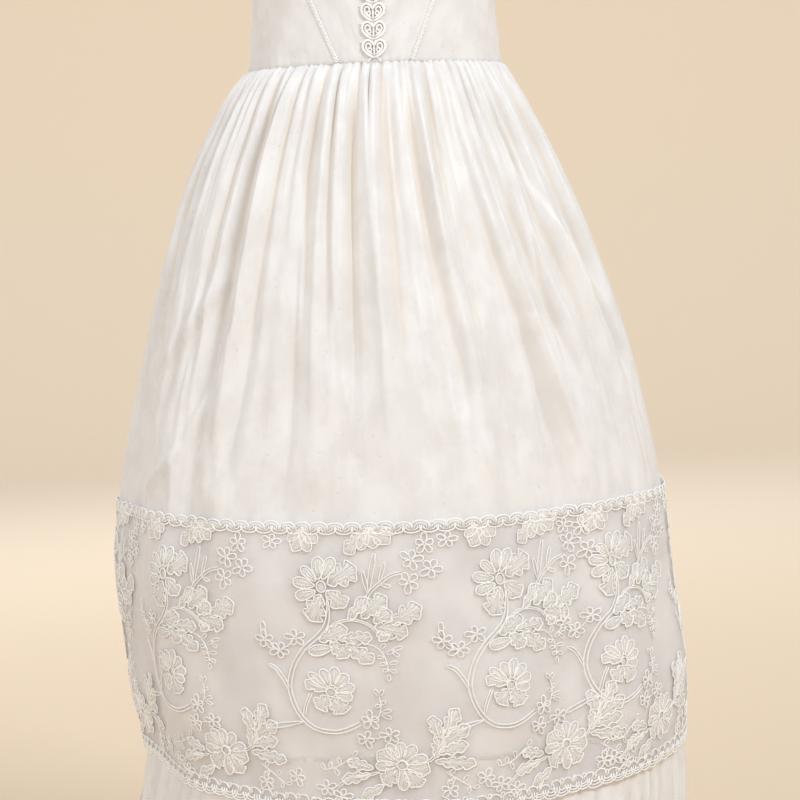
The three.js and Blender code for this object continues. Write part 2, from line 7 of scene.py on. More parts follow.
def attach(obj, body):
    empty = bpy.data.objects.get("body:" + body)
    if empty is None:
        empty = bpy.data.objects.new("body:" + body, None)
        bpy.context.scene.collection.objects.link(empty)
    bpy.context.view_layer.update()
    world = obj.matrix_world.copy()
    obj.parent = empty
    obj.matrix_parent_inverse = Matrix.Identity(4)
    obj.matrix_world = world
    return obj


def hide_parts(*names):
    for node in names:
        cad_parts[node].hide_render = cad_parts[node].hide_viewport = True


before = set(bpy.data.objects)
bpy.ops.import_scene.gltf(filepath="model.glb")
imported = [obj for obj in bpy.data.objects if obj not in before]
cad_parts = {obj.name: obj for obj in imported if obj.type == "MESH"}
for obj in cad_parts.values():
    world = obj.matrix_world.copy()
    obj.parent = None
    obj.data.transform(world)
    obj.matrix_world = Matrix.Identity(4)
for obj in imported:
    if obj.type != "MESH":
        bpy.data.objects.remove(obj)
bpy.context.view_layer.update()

# SKIRT. Two widths of soft slubbed silk, gathered into the waist seam by hand. The gathers open
# into long soft folds, and the cloth hangs almost smooth by the time it reaches the lace.
WAIST_Z = -165.0
SKIRT_END = 470.0
SKIRT_RINGS = np.array([  # drop, half width, half depth, sway to the wearer's left, gathers
    (0, 91, 66, 0, 1.3),
    (10, 98.5, 74, -1.5, 2.1),
    (30, 111.5, 86, -2.5, 1.9),
    (70, 132, 100, -3, 0.7),
    (130, 155, 116, -1.5, 0.2),
    (200, 175, 129, 1.5, 0.05),
    (270, 191, 139.5, 2.2, 0),
    (308, 196.5, 144, 2.2, 0),
    (353, 199.5, 147, 2, 0),
    (410, 200.5, 148, 8, 0),
    (440, 200.5, 148, 10.5, 0),
    (465, 197, 146.5, 12.5, 0),
    (495, 194.5, 145, 13, 0),
    (535, 197.5, 147, 9, 0),
    (635, 203, 151, 4, 0),
])
FOLDS = [  # turn at the waist and at the lace, depth, width, end, lean to its steeper side
    (-66, -70, 9, 4.5, 345, 0.5),
    (-50, -56, 6, 3, 300, 0.4),
    (-42, -47, 10, 4, 400, 0.3),
    (-31, -36, 7, 3.2, 330, -0.3),
    (-21, -23, 9, 3.6, 380, 0.3),
    (-13, -14, 5, 2.6, 240, 0.4),
    (-7, -8, 8, 3, 330, -0.2),
    (6.5, 9, 8, 3.2, 360, 0.3),
    (13, 18, 6, 2.8, 300, 0.4),
    (20, 24, 7, 3.2, 330, -0.4),
    (30, 38, 12, 4.6, 560, 0.6),
    (39, 52, 7, 3.2, 300, 0.4),
    (50, 62, 7, 3.4, 330, 0.2),
    (66, 76, 8, 4, 330, 0.3),
    (95, 97, 6, 4, 310, -0.3),
    (109, 107, 6, 4, 230, 0.3),
    (122, 125, 8, 4.5, 325, 0.4),
    (137, 138, 5, 3.5, 220, -0.3),
    (151, 147, 9, 4.5, 335, 0.4),
    (166, 168, 5, 3.5, 240, 0.2),
    (180, 182, 8, 4, 320, -0.3),
    (195, 194, 5, 3.5, 210, 0.3),
    (208, 212, 8, 4.5, 325, -0.4),
    (223, 224, 5, 3.5, 230, 0.3),
    (237, 235, 7, 4, 300, -0.4),
    (252, 253, 6, 4, 260, 0.3),
    (266, 265, 5, 4, 280, -0.3),
]
PLEATS = [  # turn and drop where each crisp fold starts, bends and ends, its height, and the
    # width of its soft side, which is below 0 where that side is the wearer's right
    ((-41, 134), (-51, 171), (-65, 209), 3.5, -6),
    ((-36, 164), (-43, 208), (-52, 261), 3.8, 6),
    ((-42, 220), (-44.5, 251), (-47, 279), 2.7, 4),
    ((-50, 259), (-58, 281), (-68, 298), 3.0, -5),
    ((-65, 110), (-69, 162), (-68.5, 214), 3.2, 5),
    ((-23.5, 45), (-21, 120), (-21, 209), 3.2, -5),
    ((-10, 208), (-8.5, 235), (-7.5, 265), 2.7, 4),
    ((6.5, 95), (8, 178), (9, 264), 2.7, -5),
    ((20, 12), (18, 62), (17, 130), 3.2, -5),
    ((30.5, 20), (33, 140), (34, 290), 4.1, -6),
    ((49.5, 44), (47, 84), (45.5, 141), 3.0, -4),
    ((37, 27), (34.5, 157), (46.5, 299), 3.2, 5),
    ((49, 70), (58, 134), (61, 216), 3.2, -5),
    ((61, 77), (71.5, 168), (75, 290), 3.2, -5),
    ((19, 256), (21, 278), (23, 297), 2.4, 4),
]
CREASE_COUNT = 56
chance = np.random.default_rng(11)
CREASES = [  # small folds below the gathers, in the columns of FOLDS; every third one is a ridge
    (
        360 / CREASE_COUNT * k + chance.uniform(-2.2, 2.2),
        360 / CREASE_COUNT * k + chance.uniform(-5, 5),
        chance.uniform(1.0, 4.2) * (-0.6 if k % 3 == 0 else 1),
        chance.uniform(1.2, 2.6),
        chance.uniform(160, 480),
        chance.uniform(-0.8, 0.8),
    )
    for k in range(CREASE_COUNT)
]
HALVES = (("front", 0), ("back", 180))
HALF_TURN = 89.94  # from a half's middle to just short of the side seam, in degrees
MEAN_RADIUS = 175  # of the skirt, to turn angles into rough millimetres round it
GATHERS, FINE_GATHERS = 68, 118  # round the waist
SEAM_ROWS = [-4, -1.8, -1.2, -0.7, -0.3, 0.2, 0.9, 1.8, 3, 4.6, 6.6, 9, 12, 15.5]
SKIRT_DROPS = np.concatenate([SEAM_ROWS, np.linspace(19.5, SKIRT_END + 2.5, 90)])
SMOOTHING = 17  # columns, for finding how deep a point lies between its neighbours


def mix(a, b, t):
    return a + (b - a) * t


def ease(x, start, end):
    t = np.clip((x - start) / (end - start), 0, 1)
    return t * t * (3 - 2 * t)


def read(table, at, column):
    """A smooth curve through one column of a table, by its first column."""
    xs, ys = table[:, 0], table[:, column]
    last = len(xs) - 1
    at = np.clip(at, xs[0], xs[-1])
    i = np.clip(np.searchsorted(xs, at, side="right") - 1, 0, last - 1)
    before = np.maximum(np.arange(last + 1) - 1, 0)
    after = np.minimum(np.arange(last + 1) + 1, last)
    slope = (ys[after] - ys[before]) / (xs[after] - xs[before])
    step = xs[i + 1] - xs[i]
    t = (at - xs[i]) / step
    return (
        (2 * t**3 - 3 * t**2 + 1) * ys[i]
        + (t**3 - 2 * t**2 + t) * step * slope[i]
        + (3 * t**2 - 2 * t**3) * ys[i + 1]
        + (t**3 - t**2) * step * slope[i + 1]
    )


def valleys(turn, drop, table, sharp):
    """How far out the cloth lies in valleys that run down from the waist, each steeper on one
    side. A sharp of 1 gives crisp lines with rounded puffs between them."""
    total = 0
    for top, low, depth, width, end, lean in table:
        middle = mix(top, low, ease(drop, 60, 320))
        off = (turn - middle + 540) % 360 - 180
        strength = ease(drop, -10, 55) * (1 - ease(drop, end - 130, end))
        spread = 1 + 0.5 * ease(drop, 180, 330)
        side = 1 - lean * 0.8 * np.tanh(off / width * 3)
        across = np.abs(off / width / spread / side)
        lip = 0.22 * np.exp(-((across - 1.9) ** 2) * 5)
        total = total - depth / spread * strength * (np.exp(-(across ** sharp) * 1.1) - lip)
    return total


def pleats(turn, drop):
    """Crisp folds that lie a little aslant, each soft on one side and steep on the other."""
    total = 0
    for (a, start), (b, bend), (c, end), height, width in PLEATS:
        path = np.array([(start, a), (bend, b), (end, c)], float)
        off = (turn - read(path, drop, 1)) * np.sign(width)
        share = np.clip((drop - start) / (end - start), 0, 1)
        soft = np.exp(-((off / abs(width)) ** 2) * 2.5)
        steep = np.exp(-((off / 0.9) ** 2))
        total = total + height * np.sin(np.pi * share) ** 0.6 * np.where(off > 0, soft, steep)
    return total


def swells(turn, drop):
    """Broad soft waves in the lower skirt."""
    grown = ease(drop, 90, 300)
    t = np.radians(turn)
    return grown * (2.4 * np.sin(7 * t + 0.7) + 1.5 * np.sin(11 * t - 0.44))


def skirt_base(turn, drop):
    """The skirt's form without its folds."""
    t = np.radians(turn)
    return np.stack([
        read(SKIRT_RINGS, drop, 3) + read(SKIRT_RINGS, drop, 1) * np.sin(t),
        -read(SKIRT_RINGS, drop, 2) * np.cos(t),
        WAIST_Z - drop + 0 * t,
    ], axis=-1)


def outward(surface, turn, down, step=0.5):
    """The outward normal of a surface of (turn, down)."""
    across = surface(turn + step, down) - surface(turn - step, down)
    fall = surface(turn, down + step) - surface(turn, down - step)
    normal = np.cross(fall, across)
    return normal / np.linalg.norm(normal, axis=-1, keepdims=True)


def on_skirt(turn, drop, out):
    """Points of the skirt's form, moved out by some millimetres."""
    turn, drop, out = np.broadcast_arrays(turn, drop, out)
    move = out + valleys(turn, drop, FOLDS, 1.25) + swells(turn, drop)
    return skirt_base(turn, drop) + outward(skirt_base, turn, drop) * move[..., None]


def crumple(u, v, size, waves, seed):
    """Soft random unevenness, up to about 1, from waves of one rough length."""
    random = np.random.default_rng(seed)
    total = 0
    for _ in range(waves):
        angle = random.uniform(0, np.pi)
        length = size * random.uniform(0.6, 1.6)
        total = total + np.sin(
            (u * np.cos(angle) + v * np.sin(angle)) * 2 * np.pi / length + random.uniform(0, 6.3)
        )
    return total / math.sqrt(waves) * 0.7


def gathers(turn, count, seed):
    """Broad gathers with tight valleys between them, from about -1 to 1, unevenly spaced."""
    t = np.radians(turn)
    wander = 1.4 * np.sin(7 * t + seed) + 1.1 * np.sin(16 * t + 2 * seed) + 0.9 * np.sin(27 * t)
    tall = 1 + 0.3 * np.sin(19 * t + seed) + 0.25 * np.sin(33 * t + 3 * seed)
    phase = t * count + wander
    phase = phase + 0.45 * np.sin(phase + 1.2 * np.sin(9 * t + seed))
    return tall * (2 * (np.sin(phase / 2) ** 2 + 0.006) ** 0.32 - 1.4)


def cloth(name, grid, size, thickness=0.45, painted_fold_shade=None):
    """A sheet of cloth from rows of points in millimetres, with a UV map of its size in metres.
    Painted fold shade is how deep each point lies in a fold, from 0 to 1, for painted warm shade there."""
    rows, columns = grid.shape[:2]
    number = np.arange(rows * columns).reshape(rows, columns)
    quads = np.stack(
        [number[:-1, :-1], number[1:, :-1], number[1:, 1:], number[:-1, 1:]], axis=-1
    ).reshape(-1, 4)
    mesh = bpy.data.meshes.new(name)
    mesh.from_pydata((grid.reshape(-1, 3) / 1000).tolist(), [], quads.tolist())
    across = np.linspace(0, size[0], columns)
    down = np.linspace(size[1], 0, rows)
    places = np.stack(np.meshgrid(across, down), axis=-1).reshape(-1, 2)
    corners = places[quads.reshape(-1)]
    layer = mesh.uv_layers.new(name="cloth")
    layer.uv.foreach_set("vector", corners.ravel())
    if painted_fold_shade is not None:
        mesh.attributes.new("painted_fold_shade", "FLOAT", "POINT").data.foreach_set("value", painted_fold_shade.ravel())
    mesh.shade_smooth()
    piece = bpy.data.objects.new(name, mesh)
    bpy.context.scene.collection.objects.link(piece)
    if thickness:
        solid = piece.modifiers.new("thickness", "SOLIDIFY")
        solid.thickness = thickness / 1000
        solid.offset = -1
        solid.use_even_offset = False
        bpy.context.view_layer.objects.active = piece
        with bpy.context.temp_override(object=piece, active_object=piece):
            bpy.ops.object.modifier_apply(modifier="thickness")
    return piece


class Value:
    """A socket in a material, so that sums on it read as sums."""

    def __init__(self, finish, socket):
        self.finish, self.socket = finish, socket

    def maths(self, operation, *numbers):
        return self.finish.node("ShaderNodeMath", {"operation": operation}, dict(enumerate(numbers)))

    def __add__(self, other):
        return self.maths("ADD", self, other)

    def __sub__(self, other):
        return self.maths("SUBTRACT", self, other)

    def __rsub__(self, other):
        return self.maths("SUBTRACT", other, self)

    def __mul__(self, other):
        return self.maths("MULTIPLY", self, other)

    __radd__, __rmul__ = __add__, __mul__

    def over(self, limit):
        return self.maths("GREATER_THAN", self, limit)

    def wave(self):
        return self.maths("SINE", self) * 0.5 + 0.5

    def rise(self, low, high):
        """From 0 at the low value to 1 at the high one, with soft ends."""
        return self.finish.node("ShaderNodeMapRange", {"interpolation_type": "SMOOTHSTEP"}, {
            "Value": self, "From Min": low, "From Max": high, "To Min": 0, "To Max": 1})


class Finish:
    """A material with one Principled shader, and a way to add the nodes that feed it."""

    def __init__(self, name, **constants):
        self.material = bpy.data.materials.new(name)
        self.material.use_nodes = True
        self.tree = self.material.node_tree
        self.shader = self.tree.nodes["Principled BSDF"]
        for socket, value in constants.items():
            self.shader.inputs[socket.replace("_", " ")].default_value = value

    def node(self, kind, settings, inputs, output=0):
        """A node of one kind: its settings, its sockets' values or links, and its output."""
        made = self.tree.nodes.new(kind)
        for name, value in settings.items():
            setattr(made, name, value)
        for name, value in inputs.items():
            if isinstance(value, Value):
                self.tree.links.new(value.socket, made.inputs[name])
            else:
                made.inputs[name].default_value = value
        return Value(self, made.outputs[output])

    def feed(self, **values):
        for socket, value in values.items():
            self.tree.links.new(value.socket, self.shader.inputs[socket.replace("_", " ")])

    def blend(self, share, first, second):
        """Two colours mixed. A Mix node's colours are its sockets 6 and 7 and its output 2."""
        first, second = [(*c, 1) if isinstance(c, tuple) else c for c in (first, second)]
        return self.node("ShaderNodeMix", {"data_type": "RGBA"}, {0: share, 6: first, 7: second}, 2)

    def place(self):
        return self.node("ShaderNodeTexCoord", {}, {}, "Object")

    def map(self):
        return self.node("ShaderNodeUVMap", {"uv_map": "cloth"}, {})

    def attribute(self, name):
        return self.node("ShaderNodeAttribute", {"attribute_name": name}, {}, "Fac")

    def stretched(self, place, scale):
        return self.node("ShaderNodeMapping", {}, {"Vector": place, "Scale": scale})

    def noise(self, place, scale, detail=2.0, roughness=0.5):
        return self.node("ShaderNodeTexNoise", {}, {
            "Vector": place, "Scale": scale, "Detail": detail, "Roughness": roughness})

    def bump(self, height, distance, strength=1.0, normal=None):
        inputs = {"Height": height, "Distance": distance, "Strength": strength}
        if normal:
            inputs["Normal"] = normal
        return self.node("ShaderNodeBump", {}, inputs)


# The pale and dull ends carry the weave's own tone and also painted sheen and painted shade; the deep tint
# is painted warm shade; the nub colour is the nubs' own.
SILK_PALE_AND_SHEEN = (0.84, 0.829, 0.826)
SILK_DULL_AND_SHADE = (0.735, 0.714, 0.701)
SILK_PAINTED_SHADE = (0.77, 0.69, 0.60)
SILK_NUB = (0.95, 0.94, 0.93)


def silk_finish():
    """Ivory silk: soft patches painted lighter and duller as painted satin sheen and shade, faint slubs
    along and across, fine weave, small nubs each ringed by a painted shadow, and painted warm shade in fold
    valleys.
    """
    silk = Finish("silk", Sheen_Weight=0.25, Sheen_Roughness=0.4, Specular_IOR_Level=0.35)
    cloth_map = silk.map()
    patches = silk.noise(silk.stretched(cloth_map, (1.2, 0.75, 1)), 36, 4, 0.6)
    streaks = silk.noise(silk.stretched(cloth_map, (620, 24, 1)), 1, 3)
    slubs = silk.noise(silk.stretched(cloth_map, (30, 900, 1)), 1, 2)
    nubs = silk.node("ShaderNodeTexVoronoi", {"feature": "F1"}, {
        "Vector": silk.stretched(cloth_map, (1, 0.8, 1)), "Scale": 120, "Randomness": 1})
    # A darker ring round each nub is a painted shadow.
    nub, nub_shadow = 1 - nubs.rise(0.03, 0.09), 1 - nubs.rise(0.07, 0.16)
    warp, weft = [
        silk.node("ShaderNodeTexWave", {"bands_direction": way}, {
            "Vector": cloth_map, "Scale": 900, "Distortion": 1.5, "Detail": 1})
        for way in "XY"
    ]
    # Lighter and duller patches are painted satin sheen and painted shade of small crumples; streaks and
    # slubs are the weave's own tone.
    patchy = patches.rise(0.36, 0.64)
    shade = patchy * 0.65 + streaks * 0.25 + slubs * 0.2 - nub_shadow * 0.3
    ridges = silk.node("ShaderNodeTexNoise", {"noise_type": "RIDGED_MULTIFRACTAL"}, {
        "Vector": silk.stretched(cloth_map, (1, 0.4, 1)), "Scale": 42, "Detail": 3, "Distortion": 0.6})
    relief = silk.bump(ridges, 0.0024, 0.55)
    weave = streaks * 0.5 + slubs * 0.35 + (warp + weft) * 0.05
    relief = silk.bump(weave, 0.00018, 0.6, relief)
    # Painted shade: a warmer, darker colour in the narrow valleys of folds and gathers.
    deep = silk.attribute("painted_fold_shade") * 0.7
    plain = silk.blend(deep, silk.blend(shade, SILK_DULL_AND_SHADE, SILK_PALE_AND_SHEEN), SILK_PAINTED_SHADE)
    silk.feed(
        Base_Color=silk.blend(nub * 0.6, plain, SILK_NUB),
        Roughness=0.6 - patchy * 0.22,
        Normal=silk.bump(nub, 0.0004, 0.8, relief),
    )
    return silk.material


silk = silk_finish()

for where, middle in HALVES:
    turn, drop = np.meshgrid(np.linspace(middle - HALF_TURN, middle + HALF_TURN, 361), SKIRT_DROPS)
    around = np.radians(turn) * MEAN_RADIUS
    fine = gathers(turn, FINE_GATHERS, 4.0)
    seam = 1 - ease(drop, 2, 16)
    gathered = gathers(turn, GATHERS, 1.0) * read(SKIRT_RINGS, drop, 4) + fine * 0.8 * seam
    gathered = gathered * ease(drop, -2.5, 0.6)
    lip = -2.2 * (1 - ease(drop, -1.6, 0)) + 1.3 * ease(drop, -1, 3) * (1 - ease(drop, 8, 40))
    calm = 1 - ease(np.abs(turn - middle), 76, 89)  # so that the halves meet at the side seams
    small = valleys(turn, drop, CREASES, 1.0)
    small = small + crumple(around, drop * 0.45, 34, 14, 3) * 0.5 * ease(drop, 30, 160) * calm
    small = small + pleats(turn if where == "front" else 180 - turn, drop)
    crisp = np.abs(crumple(around + drop * 0.2, drop * 0.3, 30, 9, 31))
    small = small - crisp * 1.1 * ease(drop, 50, 190) * calm
    # How far a point lies below its neighbours gives painted warm shade in narrow valleys, fading lower
    # down.
    depth = valleys(turn, drop, FOLDS, 1.25) * 0.6 + gathered + small
    padded = np.pad(depth, ((0, 0), (SMOOTHING // 2, SMOOTHING // 2)), "edge")
    window = np.ones(SMOOTHING) / SMOOTHING
    smooth = np.apply_along_axis(np.convolve, 1, padded, window, "valid")
    narrow = np.clip((smooth - depth - 0.1) / 1.9, 0, 1) * (1 - 0.85 * ease(drop, 50, 240))
    rise = 1.1 * np.clip(fine + 0.4, 0, 1) * (1 - ease(drop, 0.5, 14))
    skirt = cloth(
        f"silk_skirt_{where}",
        on_skirt(turn, drop - rise * ease(drop, -3, -0.5), gathered + lip + small),
        (0.55, 0.47), painted_fold_shade=narrow,
    )
    skirt.data.materials.append(silk)
    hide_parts(f"skirt_{where}")
    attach(skirt, "root")

# FLOUNCE. A gathered width of the same silk, sewn under the lace to the skirt's lower edge.
# Its hem is a narrow hand-rolled one.
FLOUNCE_END = 635.0
FLOUNCE_GATHERS = 84
HEM_SHARES = [0.968, 0.977, 0.985, 0.993, 1.0]
FLOUNCE_SHARES = np.concatenate([np.linspace(0, 0.955, 44), HEM_SHARES])
LACE_TURN = 89.95  # as HALF_TURN, for the flounce and the net
LACE_TOP, TOP_DIP = 306.0, 8.0  # drop at the sides, and how much lower it is at front and back
LACE_EDGE, EDGE_DIP = 480.0, 28.0


def lace_top(turn):
    return LACE_TOP + TOP_DIP * np.cos(np.radians(turn)) ** 2


def lace_edge(turn):
    return LACE_EDGE + EDGE_DIP * np.abs(np.cos(np.radians(turn))) ** 1.3


for where, middle in HALVES:
    turn, share = np.meshgrid(np.linspace(middle - LACE_TURN, middle + LACE_TURN, 301), FLOUNCE_SHARES)
    drop = mix(SKIRT_END + 0.3, FLOUNCE_END, share)
    clear = ease(drop, lace_edge(turn) - 4, lace_edge(turn) + 24)
    wave = gathers(turn + 2 * np.sin(np.radians(drop * 2)), FLOUNCE_GATHERS, 2.2)
    depth = mix(0.7, 2.7, clear) * mix(1, 0.75, ease(drop, 560, FLOUNCE_END))
    hem = 0.5 * ease(share, 0.958, 0.97)
    soft = crumple(np.radians(turn) * MEAN_RADIUS, drop * 0.6, 30, 12, 8) * 0.5 * clear
    # The gathers' valleys get painted warm shade, by how deep they lie.
    flounce = cloth(
        f"silk_flounce_{where}",
        on_skirt(turn, drop, mix(-1.2, 0.6, clear) + wave * depth + hem + soft),
        (0.8, 0.165), painted_fold_shade=np.clip(-wave * depth / 4, 0, 1) * 0.8,
    )
    flounce.data.materials.append(silk)
    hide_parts(f"flounce_{where}")
    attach(flounce, "root")

# LACE NET. A band of fine even net in two halves, laid smooth over the skirt's lower part. It
# is sewn on under the heading, and hangs free below.
NET_OUT = 1.3  # from the skirt's form out to the net, and then to the cords on it
CORD_OUT = NET_OUT + 0.1
NET_COLOUR = (0.90, 0.872, 0.88)
NET_PAINTED_LIGHT = (0.99, 0.97, 0.975)

net = Finish("net", Roughness=0.8, Sheen_Weight=0.3)
net_map = net.map()
cells = net.node("ShaderNodeTexVoronoi", {"feature": "DISTANCE_TO_EDGE"}, {
    "Vector": net_map, "Scale": 1700, "Randomness": 0.3})
# Soft lighter clouds are painted light and shade, where folds beneath would catch the light.
painted_fold_light = net.noise(net_map, 17, 3).rise(0.38, 0.62)
thread = 1 - cells.over(0.13)
net.feed(Base_Color=net.blend(painted_fold_light, NET_COLOUR, NET_PAINTED_LIGHT), Alpha=thread * 0.45 + 0.1)
for where, middle in HALVES:
    turn, share = np.meshgrid(
        np.linspace(middle - LACE_TURN, middle + LACE_TURN, 151), np.linspace(0, 1, 40))
    drop = mix(lace_top(turn), lace_edge(turn), share)
    soft = crumple(np.radians(turn) * MEAN_RADIUS, drop * 0.5, 40, 10, 5) * 0.35 * ease(share, 0, 0.2)
    band = cloth(
        f"lace_net_{where}", on_skirt(turn, drop, NET_OUT + soft), (0.55, 0.188), thickness=0.2)
    band.data.materials.append(net.material)
    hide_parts(f"lace_{where}")
    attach(band, "root")

# HEADING. A narrow braid of looped cord along the net's upper edge: two rows of small arches
# that link through each other, each with a second cord inside it.
HEADING_PITCH = 360 / 108
TRIM_LENGTH = 560  # of one half's heading or border, in millimetres
THREAD, THREAD_SHADE = (0.985, 0.975, 0.965), (0.95, 0.935, 0.92)
FILL, FILL_SHADE = (0.97, 0.96, 0.95), (0.92, 0.90, 0.88)


def directions(line, loop):
    """The way that a line runs at each of its points."""
    if loop:
        return np.roll(line, -1, 0) - np.roll(line, 1, 0)
    return np.gradient(line, axis=0)


def lengths(line):
    """The length of a line up to each of its points."""
    return np.concatenate([[0], np.cumsum(np.linalg.norm(np.diff(line, axis=0), axis=1))])


def curve(stops, steps):
    """A smooth line of points through the stops."""
    table = np.column_stack([np.arange(len(stops)), np.array(stops, float)])
    at = np.linspace(0, len(stops) - 1, steps)
    return np.column_stack([read(table, at, 1), read(table, at, 2)])


def ring(x, y, wide, tall, sides):
    """The points of a small ring or oval."""
    return [(x + wide * math.cos(a), y + tall * math.sin(a))
            for a in np.linspace(0, 2 * math.pi, sides + 1)[:-1]]


class Drawing:
    """Cords and filled petals drawn flat, as points (across, up, out) in millimetres."""

    def __init__(self):
        self.points, self.faces, self.fills, self.along = [], [], [], []

    def add(self, points, faces, along, is_fill):
        first = len(self.points)
        self.points.extend(points)
        self.faces.extend([tuple(first + i for i in face) for face in faces])
        self.fills.extend([is_fill] * len(faces))
        self.along.extend(along)

    def cord(self, line, radius, out=0.4, loop=False, sides=4, flat=1.0):
        """A rounded cord along a line of (across, up), with closed ends. Flat presses it down."""
        line = np.array([(*p, 0) if len(p) == 2 else p for p in line], float)
        count = len(line)
        way = directions(line, loop)[:, :2]
        way = way / np.maximum(np.linalg.norm(way, axis=1, keepdims=True), 1e-6)
        side = np.stack([-way[:, 1], way[:, 0]], axis=1)
        length = lengths(line)
        points, along = [], []
        for k in range(count):
            slim = 1 if loop or 0 < k < count - 1 else 0.6
            for s in range(sides):
                a = 2 * math.pi * (s + 0.5) / sides
                u = math.cos(a) * radius * slim * 1.3
                w = math.sin(a) * radius * slim * 0.9 * flat
                points.append((line[k, 0] + side[k, 0] * u, line[k, 1] + side[k, 1] * u,
                               out + line[k, 2] + w))
                along.append(length[k])
        faces = []
        for k in range(count if loop else count - 1):
            n = (k + 1) % count
            for s in range(sides):
                t = (s + 1) % sides
                faces.append((k * sides + s, k * sides + t, n * sides + t, n * sides + s))
        if not loop:
            faces.append(tuple(range(sides - 1, -1, -1)))
            faces.append(tuple((count - 1) * sides + s for s in range(sides)))
        self.add(points, faces, along, False)

    def fill(self, line, out=0.15, dome=0.5):
        """Thread laid across the inside of a closed line, a little domed."""
        line = np.array(line, float)
        ahead = np.roll(line, -1, axis=0)
        if np.sum(line[:, 0] * ahead[:, 1] - line[:, 1] * ahead[:, 0]) < 0:
            line = line[::-1]
        middle = line.mean(axis=0)
        inner = middle + (line - middle) * 0.55
        count = len(line)
        points = [(*p, out) for p in line] + [(*p, out + dome * 0.8) for p in inner]
        points.append((*middle, out + dome))
        under = len(points)
        points += [(*p, out - 0.25) for p in line] + [(*middle, out - 0.25)]
        faces, along = [], []
        for k in range(count):
            n = (k + 1) % count
            faces.append((k, n, count + n, count + k))
            faces.append((count + k, count + n, 2 * count))
            faces.append((under + n, under + k, under + count))
            faces.append((k, under + k, under + n, n))
        turn = np.arange(count) / count * 12
        along = list(turn) + list(turn) + [0] + list(turn) + [0]
        self.add(points, faces, along, True)

    def petal(self, root, tip, width, radius, filled, notch=0.0, steps=7, lobes=0, rays=0):
        """A petal or leaf from its root to its tip: a corded outline, plain or lobed, with thread
        laid across it or left open, and rays of cord up its middle."""
        root, tip = np.array(root, float), np.array(tip, float)
        axis = tip - root
        reach = np.linalg.norm(axis)
        axis = axis / reach
        side = np.array([-axis[1], axis[0]])
        steps += 4 * lobes
        line = []
        for k in range(2 * steps):
            a = math.pi * (k + 0.5) / steps
            along = (1 - math.cos(a)) / 2
            wide = math.sin(a) * (along + 0.05) ** 0.35 * width / 2 * 1.06
            if lobes:
                wave = abs(math.sin(math.pi * (lobes * along + 0.2 * (k >= steps))))
                wide *= 0.64 + 0.62 * wave
                along += 0.05 * wave * math.sin(a)
            bite = notch * max(0, math.cos((along - 0.95) * 9)) * (along > 0.8)
            line.append(root + axis * reach * (along - bite) + side * wide)
        self.cord(line, radius, loop=True)
        if filled:
            self.fill(line)
        for k in range(rays):
            bend = side * width * 0.2 * (k - (rays - 1) / 2) * 1.4
            ray = [root, mix(root, tip, 0.4) + bend, mix(root, tip, 0.78) + bend * 1.3]
            self.cord(ray, radius * 0.8, 0.6, sides=3)

    def oval(self, x, y, wide, tall):
        """The ring of cord at the middle of a flower, with a little thread across it."""
        line = ring(x, y, wide, tall, 12)
        self.cord(line, 0.5, 0.7, loop=True)
        self.fill(line, 0.1, 0.15)

    def flower(self, centre, petals, width, open_radius):
        """A flower: petals, some of them lobed, given by their tips round an open ring."""
        centre = np.array(centre, float)
        for x, y, lobes in petals:
            tip = np.array((x, y), float)
            root = centre + (tip - centre) / np.linalg.norm(tip - centre) * open_radius
            wide = width * (1.4 if lobes else 1)
            self.petal(root, tip, wide, 0.5, True, notch=0.05, lobes=lobes, rays=1)
        self.oval(*centre, open_radius, open_radius)

    def blossom(self, centre, size, start):
        """A small open flower of five loops of cord, of uneven length."""
        centre = np.array(centre, float)
        for k in range(5):
            a = math.radians(start + 72 * k + 9 * math.sin(3.1 * k + size))
            reach = size * (1 + 0.16 * math.sin(2.3 * k + start))
            way = np.array([math.cos(a), math.sin(a)])
            self.petal(centre + way * 0.5, centre + way * reach, size * 0.66, 0.44, False, steps=4)

    def lay(self, name, surface):
        """The drawing laid on a surface of (across, up, out), as a finished piece."""
        points = surface(*np.array(self.points).T) / 1000
        mesh = bpy.data.meshes.new(name)
        mesh.from_pydata(points.tolist(), [], self.faces)
        attribute = mesh.attributes.new("along", "FLOAT", "POINT")
        attribute.data.foreach_set("value", np.array(self.along, float))
        mesh.materials.append(thread_finish)
        mesh.materials.append(fill_finish)
        mesh.polygons.foreach_set("material_index", np.array(self.fills, np.int32))
        mesh.shade_smooth()
        piece = bpy.data.objects.new(name, mesh)
        bpy.context.scene.collection.objects.link(piece)
        return piece


cord = Finish("thread", Sheen_Weight=0.2, Specular_IOR_Level=0.4)
twist = (cord.attribute("along") * 7.5 + cord.noise(cord.place(), 900, 2) * 3).wave()
cord.feed(
    Base_Color=cord.blend(twist, THREAD_SHADE, THREAD),
    Roughness=0.55 + twist * 0.1,
    Normal=cord.bump(twist, 0.00006, 0.4),
)
thread_finish = cord.material

fill = Finish("thread_fill", Sheen_Weight=0.2)
rows = (fill.attribute("along") * 9 + fill.noise(fill.place(), 500, 2) * 2.5).wave()
fill.feed(
    Base_Color=fill.blend(rows, FILL_SHADE, FILL),
    Roughness=0.6 + rows * 0.1,
    Alpha=rows * 0.3 + 0.5,
    Normal=fill.bump(rows, 0.0001, 0.4),
)
fill_finish = fill.material


def arch(middle, low, half, height, steps, lean=0.0):
    """Points of an arch of cord from foot to foot, a little pinched at the feet."""
    points = []
    for a in np.linspace(0, math.pi, steps):
        x = -math.cos(a) * half * (1 + 0.12 * math.sin(a))
        points.append((middle + x + lean * math.sin(a), low + math.sin(a) ** 0.75 * height))
    return points


